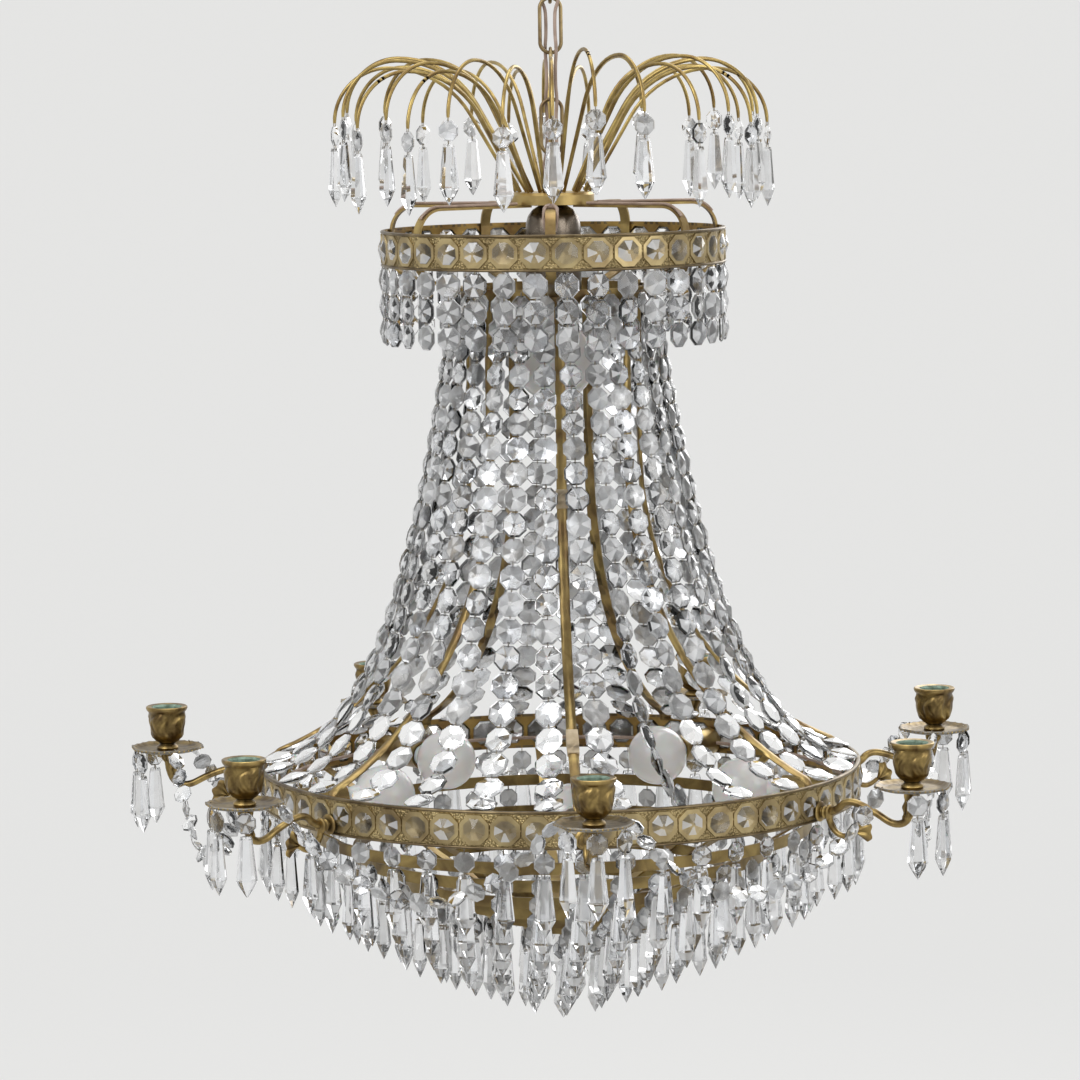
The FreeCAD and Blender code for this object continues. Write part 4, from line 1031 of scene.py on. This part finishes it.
@dataclass
class Crown:
    """The crown straps' wires, the lamp cover and the fringe."""

    cutter: CrystalCutter
    straps: int = 7
    strap_phase: float = -1.14
    strap_circle: float = 132.7
    strap_shoulder: float = 20.0
    strap_width: float = 8.0
    strap_thickness: float = 2.0
    wire: float = 2.4
    wire_start: float = 36.0
    wire_sway: float = 1.6
    wire_seed: int = 31
    wired: tuple[int, ...] = (1, 2, 5, 6)
    knot_turns: int = 3
    knot_pitch: float = 2.6
    knot_start: float = 3.0
    tails: tuple[Triple, ...] = (
        (0.5, 104.0, 2.4), (3.0, 112.0, 3.0), (5.4, 120.0, -1.0), (5.0, 124.0, -9.0), (3.8, 125.5, -17.0),
    )
    fringe_rows: int = 3
    fringe_octagon: float = 19.6
    fringe_turn: float = 16.0
    row_turn: float = 14.0
    fringe_seed: int = 5
    cover_radius: float = 22.0
    cover_wall: float = 1.2

    def build_cover(self) -> None:
        """The smooth dark bell over the top lamp."""
        bm = bmesh.new()
        radius, wall = self.cover_radius, self.cover_wall
        foot = heights("lamp_cover")[0]
        shares = [(0.28, 0.0), (0.52, 0.06), (0.74, 0.2), (0.9, 0.42), (0.98, 0.7), (1.0, 1.0)]
        outer = [(radius * r, HUB_FOOT - radius * z) for r, z in shares]
        outer += [(radius, foot + 2.0), (radius, foot)]
        inner = [(r - wall, z - (wall if r < radius * 0.9 else 0.0)) for r, z in reversed(outer)]
        lathe(bm, [(0.0, HUB_FOOT), *outer, *inner, (0.0, HUB_FOOT - wall)], 64)
        finish_piece(bm, "lamp_bell", BRONZE, "dark_bronze", "lamp_cover")

    def wire_trail(self) -> Trail:
        """A wire's line on top of a crown strap and over its shoulder."""
        lift = self.wire / 2
        trail = Trail(self.wire_start, HUB_FOOT + lift, 0.0)
        trail.run(self.strap_circle - self.strap_shoulder - self.wire_start)
        over = self.strap_shoulder + self.strap_thickness / 2 + lift
        return trail.bend(over * 0.93, -QUARTER * 0.62)

    def build_wires(self) -> None:
        """Wires laid along some of the straps and one knotted round the front strap's shoulder."""
        bm = bmesh.new()
        bar = ring_outline(self.wire / 2, 8)
        chance = random.Random(self.wire_seed)
        front = turned(self.strap_phase)
        for k in self.wired:
            here = turned(self.strap_phase + FULL_TURN * k / self.straps)
            here = here @ moved(chance.uniform(-self.wire_sway, self.wire_sway), 0, 0)
            sweep(bm, bar, [here @ s for s in self.wire_trail().stations()])
        for turn in range(self.knot_turns):
            radius = self.strap_circle - self.strap_shoulder - self.knot_start - self.knot_pitch * turn
            route = self.loop(radius)
            sweep(bm, bar, [front @ s for s in route_stations(route)])
        for side in SIDES:
            route = [Vector((side * x, -r, HUB_FOOT + z)) for x, r, z in self.tails]
            sweep(bm, bar, [front @ s for s in route_stations(spline_points(route))])
        finish_piece(bm, "strap_wires", FLEX, "flex")

    def loop(self, radius: float) -> list[Vector]:
        """One turn of wire round a strap."""
        wide = self.strap_width / 2 + self.wire / 2
        thick = self.strap_thickness / 2 + self.wire / 2
        middle = HUB_FOOT - self.strap_thickness / 2
        points = []
        steps = 16
        for i in range(steps + 1):
            ray = 2 * math.pi * i / steps
            across = wide * math.copysign(abs(math.cos(ray)) ** 0.5, math.cos(ray))
            up = thick * math.copysign(abs(math.sin(ray)) ** 0.7, math.sin(ray))
            points.append(Vector((across, -radius - 0.12 * i, middle + up)))
        return points

    def build_fringe(self, ring: StampedRing) -> None:
        """The strings of three octagons under the upper ring."""
        chance = random.Random(self.fringe_seed)
        places, links = [], []
        pitch = self.fringe_octagon + STRING_GAP
        for azimuth in ring.azimuths:
            lean = chance.uniform(-self.fringe_turn, self.fringe_turn)
            for row in range(self.fringe_rows):
                lean = lean * 0.6 + chance.uniform(-self.row_turn, self.row_turn)
                spot = out(ring.radius - ring.wall / 2, ring.foot, azimuth) @ turned(lean)
                places.append(spot @ moved(0, 0, -STRING_GAP - self.fringe_octagon / 2 - row * pitch))
                links.append(spot @ moved(0, 0, -row * pitch - 0.4))
        self.cutter.string("fringe", "fringe_crystals", self.fringe_octagon - LOOSE_FIT, places, links)


@dataclass
class Basket:
    """The tier rings, their straps and the drops."""

    cutter: CrystalCutter
    phase: float = 4.0
    lower_drops: int = 49
    tiers: tuple[int, ...] = (42, 35, 28, 21, 14, 7)
    wall: float = 2.0
    seed: int = 17

    def ring_places(self, radius: float, foot: float, copies: int) -> list[Matrix]:
        """Where the drops of a ring hang."""
        return [out(radius - self.wall / 2, foot, azimuth) for azimuth in azimuths(copies, self.phase)]

    def build(self, lower: StampedRing) -> None:
        """Dresses the metal and hangs the drops."""
        dress(STRAP_BRASS, "basket_straps", "basket_disc", "strand_ring", "crown_straps")
        dress(NUT_STEEL, "rib_screws")
        chance = random.Random(self.seed)
        metal = bmesh.new()
        places = self.ring_places(lower.radius, lower.foot, self.lower_drops)
        finish_glass(self.cutter.drops(metal, places, chance), "ring_drops", "lower_ring_drops")
        places = [moved(0, 0, heights("basket_disc")[0])]
        for number, copies in enumerate(self.tiers, start=1):
            node = f"tier_ring_{number}"
            dress(RING_BRASS, node)
            low, high = node_box(node)
            places += self.ring_places((high.x - low.x) / 2, low.z, copies)
        finish_glass(self.cutter.drops(metal, places, chance), "basket_drops", "tier_drops")
        finish_wire(metal, "drop_links")


# --- Candle arms ---


@dataclass
class CandleArms:
    """The arms with their pans, cups, pendants and swags."""

    cutter: CrystalCutter
    arms: int = 7
    phase: float = 4.0
    cup_lip: float = 16.8
    pan_radius: float = 28.0
    pan_lip: float = 2.5
    pan_wall: float = 1.6
    pan_depth: float = 2.4
    candle_radius: float = 11.0
    candle_depth: float = 25.0
    swag_octagon: float = 15.0
    swag_crystals: int = 17
    swag_turn: float = 70.0
    swag_seed: int = 23
    side_drop: float = 52.0
    drop_seed: int = 29
    beads: int = 44
    leaves: int = 4
    leaf_height: float = 1.5
    seat: float = 242.2
    tube: float = 2.9
    boss: Profile = (
        (0.0, 0.0), (7.8, 0.0), (8.0, 0.9), (7.0, 1.9), (4.2, 2.4), (4.0, 3.2), (4.7, 3.9), (5.0, 4.8),
        (4.6, 5.7), (3.9, 6.6), (4.2, 7.2), (5.8, 7.8), (6.2, 8.9), (5.6, 10.0), (3.8, 10.6), (0.0, 10.8),
    )
    bends: Profile = (
        (0.015, 0.0), (0.17, 0.0), (0.30, 12.0), (0.58, 5.0), (0.82, -6.0), (1.0, 2.0),
    )
    scroll: Profile = (
        (8.0, -2.0), (9.0, -9.0), (16.0, -17.0), (25.0, -17.5), (31.0, -12.5),
    )
    fan_reach: float = 14.0
    fan_spread: float = 58.0
    fan_ribs: float = 3.0

    def __post_init__(self) -> None:
        """Finds the circle that the cups stand on, from the front cup's place."""
        front = -node_box("candle_cups")[0].y - self.cup_lip
        self.circle = front / math.cos(math.radians(self.phase))
        self.pan_floor = PAN_RIM - self.pan_depth
        self.pan_foot = self.pan_floor - self.pan_wall
        self.spins = [turned(a) for a in azimuths(self.arms, self.phase)]

    def spread(self, bm: BMesh) -> BMesh:
        """Copies of something that stands on the axis, one on each arm."""
        return place_copies(bmesh.new(), bm, [spin @ moved(0, -self.circle, 0) for spin in self.spins])

    def build_arms(self) -> None:
        """Cast arms: boss and collars, the curved tube, the casting under the pan, and a leafy scroll."""
        root, under = sum(heights("arm_nuts")) / 2, self.pan_foot
        reach = self.circle - self.seat
        arm, boss = bmesh.new(), bmesh.new()
        lathe(boss, self.boss, 28)
        lathe(boss, [(0.0, -7.5), (1.5, -7.5), (1.5, 0.2), (0.0, 0.2)], 12)
        place_copies(arm, boss, [moved(0, -self.seat, root) @ spun(QUARTER, "X")])
        end = Vector((0, -self.circle, under))
        route = [Vector((0, -(self.seat + reach * share), root + lift)) for share, lift in self.bends]
        line = route_stations(spline_points([*route, end]))
        sizes = [1.15 - 0.2 * math.sin(math.pi * i / (len(line) - 1)) for i in range(len(line))]
        sweep(arm, ring_outline(self.tube, 14), line, sizes)
        self.cast_leaf(arm, end + Vector((0, 5.5, -24.0)), end)
        scroll = [Vector((0, -(self.seat + along), root + lift)) for along, lift in self.scroll]
        line = route_stations(spline_points(scroll))
        sizes = [1.3 - 0.5 * i / (len(line) - 1) for i in range(len(line))]
        sweep(arm, ring_outline(self.tube * 0.75, 12), line, sizes)
        place_copies(arm, self.fan(), [moved(*scroll[-1]) @ spun(-20, "X")])
        arms = place_copies(bmesh.new(), arm, self.spins)
        finish_piece(arms, "arms", CAST_BRASS, "cup_brass", "candle_arms")

    def cast_leaf(self, bm: BMesh, start: Vector, end: Vector) -> None:
        """Adds a lobed, leafy casting that swells between two points."""
        steps = 14
        shares = [i / steps for i in range(steps + 1)]
        sizes = [0.45 + 0.75 * share**0.7 + 0.14 * math.cos(5 * math.pi * share) for share in shares]
        stations = route_stations([start.lerp(end, share) for share in shares], 50.0)
        sweep(bm, ring_outline(4.6, 30, 5, 0.85), stations, sizes)

    def fan(self) -> BMesh:
        """A ribbed shell in the arm's plane, spreading outwards from the origin."""
        bm = bmesh.new()
        for side in SIDES:
            made = bmesh.ops.create_grid(bm, x_segments=28, y_segments=8, size=0.5)["verts"]
            for vert in made:
                swing, along = vert.co.x * 2, vert.co.y + 0.5
                ridge = math.cos(swing * math.pi * self.fan_ribs)
                radius = self.fan_reach * along * (1 + 0.07 * ridge * along)
                ray = math.radians(self.fan_spread * swing)
                rim = min(1.0, (1 - abs(swing)) * 5, (1 - along) * 5)
                thick = (1.0 + 0.55 * ridge) * rim + 0.9 * (1 - along)
                curl = 2.2 * along**2
                vert.co = Vector((side * thick + curl, -radius * math.cos(ray), radius * math.sin(ray)))
        bmesh.ops.remove_doubles(bm, verts=bm.verts, dist=0.02)
        return bm

    def leaf(self, ray: float, share: float) -> float:
        """Height of the leaf relief on a cup at a bearing in radians and a share of its belly's height."""
        side = self.leaves * ray / (2 * math.pi) + 0.30 * math.sin(math.pi * share)
        across = abs((side + 0.5) % 1.0 - 0.5) * 2
        reach = 0.95 * math.sqrt(max(0.0, 1 - (share - 0.1) ** 2)) + 0.10 * math.cos(9.0 * share)
        blade = 0.5 + 0.5 * math.tanh(9.0 * (reach - across - 0.12))
        rib = 0.55 * math.exp(-((across / 0.13) ** 2)) + 0.30 * math.cos(16.0 * (across - 0.9 * share))
        curl = 0.9 * math.exp(-(((share - 0.82) / 0.12) ** 2)) * max(0.0, 1 - 1.5 * across)
        return (self.leaf_height * blade * (1 + 0.4 * rib) + curl - 0.5) * math.sin(math.pi * share) ** 0.4

    def build_cups(self) -> None:
        """Cast cups with swirling leaves outside and verdigris inside."""
        bm = bmesh.new()
        floor, rim, bore = self.pan_floor, CUP_RIM, self.candle_radius
        foot = [(0.0, 0.0), (8.3, 0.0), (8.8, 1.0), (8.3, 2.2), (6.6, 3.4), (6.2, 4.4), (7.6, 5.4)]
        profile = [(radius, floor + height) for radius, height in foot]
        belly = [(6.4, 9.4), (8.2, 11.0), (11.0, 12.3), (15.0, 13.2), (20.0, 13.9), (29.5, 14.7)]
        for (za, ra), (zb, rb) in zip(belly, belly[1:]):
            steps = max(1, round(zb - za))
            for i in range(steps):
                profile.append((ra + (rb - ra) * i / steps, floor + za + (zb - za) * i / steps))
        lip = [(14.9, 4.9), (16.2, 3.3), (16.9, 1.8), (16.8, 0.5), (16.0, 0.0), (12.4, 0.6), (bore, 2.2)]
        lip += [(bore, 12.0), (bore, self.candle_depth), (0.0, self.candle_depth)]
        profile += [(radius, rim - depth) for radius, depth in lip]
        lathe(bm, profile, 120)
        low, high = floor + 6.0, rim - 5.0
        for vert in bm.verts:
            reach = math.hypot(vert.co.x, vert.co.y)
            if reach > bore + 0.4 and low < vert.co.z < high:
                lift = self.leaf(math.atan2(vert.co.y, vert.co.x), (vert.co.z - low) / (high - low))
                vert.co.x *= 1 + lift / reach
                vert.co.y *= 1 + lift / reach
        for face in bm.faces:
            middle = face.calc_center_median()
            reach = math.hypot(middle.x, middle.y)
            inside = middle.z > floor + 8 and reach < bore + 0.1
            face.material_index = int(inside or (middle.z > rim - 2.0 and reach < 13.5))
        finish_piece(self.spread(bm), "cups", CAST_BRASS, "cup_brass", "candle_cups", more=[VERDIGRIS])

    def build_pans(self) -> None:
        """Octagonal pans with scalloped, beaded rims."""
        bm = bmesh.new()
        rim, wall, floor, under = PAN_RIM, self.pan_wall, self.pan_floor, self.pan_foot
        reach = self.pan_radius + self.pan_lip
        profile = [(0.0, under), (reach * 0.3, under), (reach * 0.6, under), (reach * 0.8, under + 0.2)]
        profile += [(reach - 0.9, rim - wall), (reach - 0.2, rim - wall * 0.6), (reach - 0.6, rim)]
        profile += [(reach - 1.9, rim - 0.2), (reach * 0.78, floor + 0.2), (reach * 0.6, floor), (0.0, floor)]
        lathe(bm, profile, 96)
        for face in bm.faces:
            low = face.calc_center_median().z < rim - wall * 0.4
            face.material_index = int(low and face.normal.z < 0)
        for vert in bm.verts:
            ray = math.atan2(vert.co.y, vert.co.x)
            share = math.hypot(vert.co.x, vert.co.y) / reach
            scallop = abs(math.sin(12 * ray))
            pull = 1 - (0.05 * abs(math.sin(4 * ray)) + 0.02 * scallop) * share**3
            vert.co.x *= pull
            vert.co.y *= pull
            if 0.6 < share and vert.co.z > floor - 0.1:
                vert.co.z -= 0.35 * scallop * share
        places = []
        for k in range(self.beads):
            ray = 2 * math.pi * k / self.beads
            at = (reach - 0.9) * (1 - 0.05 * abs(math.sin(4 * ray)) - 0.01)
            places.append(moved(at * math.cos(ray), at * math.sin(ray), rim - wall * 0.9))
        place_copies(bm, bead(1.0), places)
        finish_piece(self.spread(bm), "pans", PAN_BRASS, "pan_brass", "drip_pans", more=[CAST_BRASS])

    def build_swags(self) -> None:
        """The festoons between the pans."""
        height = PAN_RIM - self.pan_wall
        half_step = FULL_TURN / self.arms / 2
        half = math.radians(half_step)
        chord = 2 * (self.circle * math.sin(half) - self.pan_radius - STRING_GAP)
        middle = self.circle * math.cos(half)
        pitch = self.swag_octagon + STRING_GAP
        length = pitch * self.swag_crystals
        hang = Hang(chord, 0.0, length)
        chance = random.Random(self.swag_seed)
        places, links = [], []
        for azimuth in azimuths(self.arms, self.phase):
            for k in range(self.swag_crystals + 1):
                spots = []
                for at in (min((k + 0.5) * pitch, length), k * pitch):
                    along, sag, slope = hang.place(at)
                    here = turned(azimuth + half_step) @ moved(along - chord / 2, -middle, height + sag)
                    spots.append(here @ spun(-slope, "Y"))
                if k < self.swag_crystals:
                    places.append(spots[0] @ spun(chance.uniform(-self.swag_turn, self.swag_turn), "X"))
                links.append(spots[1] @ spun(QUARTER, "Y"))
        self.cutter.string("festoons", "swags", self.swag_octagon - LOOSE_FIT, places, links)

    def build_pendants(self) -> None:
        """The drops on the pans: the outer one of each swings."""
        reach, height = self.pan_radius - self.pan_wall, PAN_RIM - self.pan_wall
        still = []
        chance = random.Random(self.drop_seed)
        for number, spin in enumerate(self.spins, start=1):
            pan = spin @ moved(0, -self.circle, 0)
            still += [pan @ out(reach, height, side * self.side_drop) for side in SIDES]
            metal, body = bmesh.new(), f"pendant_{number}"
            glass = self.cutter.drops(metal, [spin @ out(self.circle + reach, height)], chance)
            finish_glass(glass, f"swinging_drop_{number}", f"pan_pendant_{number}", body)
            finish_wire(metal, f"swinging_hook_{number}", body)
        metal = bmesh.new()
        finish_glass(self.cutter.drops(metal, still, chance), "side_drops", "pan_drops")
        finish_wire(metal, "side_hooks")

    def build(self) -> None:
        """Everything on the arms."""
        self.build_arms()
        dress(NUT_STEEL, "arm_nuts")
        self.build_cups()
        self.build_pans()
        self.build_swags()
        self.build_pendants()


# --- Lamps ---


@dataclass
class Lamps:
    """The opal bulbs and their holders."""

    lamps: int = 5
    phase: float = 3.0
    holder_back: float = 234.4
    holder_length: float = 52.0
    neck: float = 8.0
    neck_radius: float = 9.0
    globe: float = 24.5
    top_neck_radius: float = 13.0
    top_globe: float = 32.0

    def bulb(self, globe: float, neck: float, neck_top: float, steps: int) -> BMesh:
        """A globe about the origin with its neck up to a height."""
        start = math.degrees(math.asin(min(1.0, neck * 1.25 / globe)))
        made = [(0.0, neck_top), (neck, neck_top), (neck, neck_top * 0.82 + globe * 0.16)]
        for i in range(24):
            ray = math.radians(start + (180 - start) * i / 24)
            made.append((globe * math.sin(ray), globe * math.cos(ray)))
        bm = bmesh.new()
        lathe(bm, [*made, (0.0, -globe)], steps)
        return bm

    def build(self) -> None:
        """Bulbs and holders."""
        dress(HUB_BRASS, "top_lamp_holder")
        dress(RING_BRASS, "lamp_holders")
        dress(FLEX, "lamp_cable")
        mouth = heights("top_lamp_holder")[0]
        centre = heights("top_bulb")[0] + self.top_globe
        bm = self.bulb(self.top_globe, self.top_neck_radius, mouth - centre, 48)
        bmesh.ops.translate(bm, vec=(0, 0, centre), verts=bm.verts)
        finish_piece(bm, "large_bulb", OPAL, "opal_glass", "top_bulb", body="top_bulb")
        axis = sum(heights("lamp_holders")) / 2
        back = self.holder_back - self.holder_length - self.neck - self.globe
        for number, azimuth in enumerate(azimuths(self.lamps, self.phase), start=1):
            bm = self.bulb(self.globe, self.neck_radius, self.globe + self.neck, 40)
            bmesh.ops.transform(bm, matrix=out(back, axis, azimuth) @ spun(QUARTER, "X"), verts=bm.verts)
            name = f"ring_bulb_{number}"
            finish_piece(bm, f"opal_{name}", OPAL, "opal_glass", name, body=name)


# --- Studio ---


@dataclass
class Studio:
    """Floor, lights, world and camera, in metres."""

    distance: float = 3.312
    side: float = -0.0138
    camera_height: float = -0.0932
    pitch: float = 6.46
    roll: float = -0.8
    lens: float = 138.9
    floor_height: float = -1.6
    floor_near: float = -30.0
    floor_far: float = 5.0
    floor_bend: float = 1.5
    floor_width: float = 14.0
    backdrop_top: float = 5.0
    aim: Triple = (0.0, 0.0, -0.45)
    pale: Triple = (0.80, 0.79, 0.77)
    glow: Triple = (0.84, 0.84, 0.83)
    glow_share: float = 0.82
    lights: tuple[tuple[str, Triple, float, float], ...] = (
        ("key", (-2.2, -2.6, 1.6), 2.2, 62.0),
        ("fill", (2.6, -2.2, 0.5), 2.4, 34.0),
        ("top", (0.0, 0.4, 2.4), 2.0, 30.0),
        ("back", (1.2, 2.2, 0.6), 1.6, 24.0),
    )

    def build(self) -> None:
        """Puts up the studio."""
        self.camera()
        self.floor()
        self.world()
        for light in self.lights:
            self.light(*light)
        bpy.context.scene.view_settings.view_transform = "Standard"

    def camera(self) -> None:
        """The photograph's point of view."""
        data = bpy.data.cameras.new("camera")
        data.lens = self.lens
        data.sensor_width = 36.0
        data.clip_end = 50.0
        camera = bpy.data.objects.new("camera", data)
        place = moved(self.side, -self.distance, self.camera_height)
        camera.matrix_world = place @ spun(QUARTER - self.pitch, "X") @ spun(self.roll, "Z")
        bpy.context.scene.collection.objects.link(camera)
        bpy.context.scene.camera = camera

    def floor(self) -> None:
        """A pale floor that curves up into a backdrop."""
        bm = bmesh.new()
        bend, start = self.floor_bend, self.floor_far - self.floor_bend
        line = [(self.floor_near, self.floor_height), (start, self.floor_height)]
        for i in range(1, 13):
            ray = math.radians(QUARTER * i / 12)
            line.append((start + bend * math.sin(ray), self.floor_height + bend * (1 - math.cos(ray))))
        line.append((self.floor_far, self.backdrop_top))
        verts = [bm.verts.new((-self.floor_width / 2, y, z)) for y, z in line]
        edges = [bm.edges.new(pair) for pair in zip(verts, verts[1:])]
        made = bmesh.ops.extrude_edge_only(bm, edges=edges)["geom"]
        far = [g for g in made if isinstance(g, bmesh.types.BMVert)]
        bmesh.ops.translate(bm, vec=(self.floor_width, 0, 0), verts=far)
        mesh = bpy.data.meshes.new("floor")
        for face in bm.faces:
            face.smooth = True
        bm.to_mesh(mesh)
        bm.free()
        mesh.materials.append(self.backdrop())
        floor = bpy.data.objects.new("floor", mesh)
        bpy.context.scene.collection.objects.link(floor)

    def backdrop(self) -> bpy.types.Material:
        """Matt paper that looks evenly pale yet keeps a shadow."""
        board = Board("floor")
        shade = tuple(c * 0.99 for c in self.pale)
        paper = board.ramp(board.noise(1.5, 2.0), (0.3, self.pale), (0.7, shade))
        feed(board.shader, Roughness=0.9, Base_Color=paper)
        glow = board.node("Emission", Color=(*self.glow, 1.0)).outputs["Emission"]
        share = seen_share(board.tree, self.glow_share)
        mix = board.node("MixShader", share, board.shader.outputs["BSDF"], glow)
        feed(board.output, Surface=mix.outputs["Shader"])
        return board.material

    def world(self) -> None:
        """A soft pale surround, paler behind the object."""
        world = bpy.data.worlds.new("surround")
        world.use_nodes = True
        bpy.context.scene.world = world
        tree = world.node_tree
        tree.nodes.clear()
        ambient = new_node(tree, "Background", Color=(0.80, 0.82, 0.85, 1.0), Strength=0.55).outputs[0]
        seen = new_node(tree, "Background", Color=(*self.glow, 1.0), Strength=1.0).outputs[0]
        mix = new_node(tree, "MixShader", seen_share(tree, 1.0), ambient, seen)
        new_node(tree, "OutputWorld", Surface=mix.outputs[0])

    def light(self, name: str, at: Triple, size: float, power: float) -> None:
        """A soft square lamp aimed at the middle of the object."""
        data = bpy.data.lights.new(name, "AREA")
        data.energy = power
        data.size = size
        lamp = bpy.data.objects.new(name, data)
        aim = Vector(self.aim) - Vector(at)
        lamp.matrix_world = Matrix.Translation(at) @ aim.to_track_quat("-Z", "Y").to_matrix().to_4x4()
        bpy.context.scene.collection.objects.link(lamp)


def main() -> None:
    """Builds every sub-assembly in order."""
    logging.basicConfig(level=logging.INFO, format="%(name)s %(message)s")
    cutter = CrystalCutter()
    Studio().build()
    ChainAndCords().build()
    Spray(cutter).build()
    upper = StampedRing("upper", 136.0, 35, 4.0)
    upper.build(cutter)
    crown = Crown(cutter)
    crown.build_cover()
    crown.build_wires()
    crown.build_fringe(upper)
    cage = Cage(cutter)
    cage.build_ribs()
    cage.build_strands()
    lower = StampedRing("lower", 240.0, 63, 4.0 + 360 / 126)
    lower.build(cutter)
    Basket(cutter).build(lower)
    CandleArms(cutter).build()
    Lamps().build()


if __name__ == "__main__":
    main()
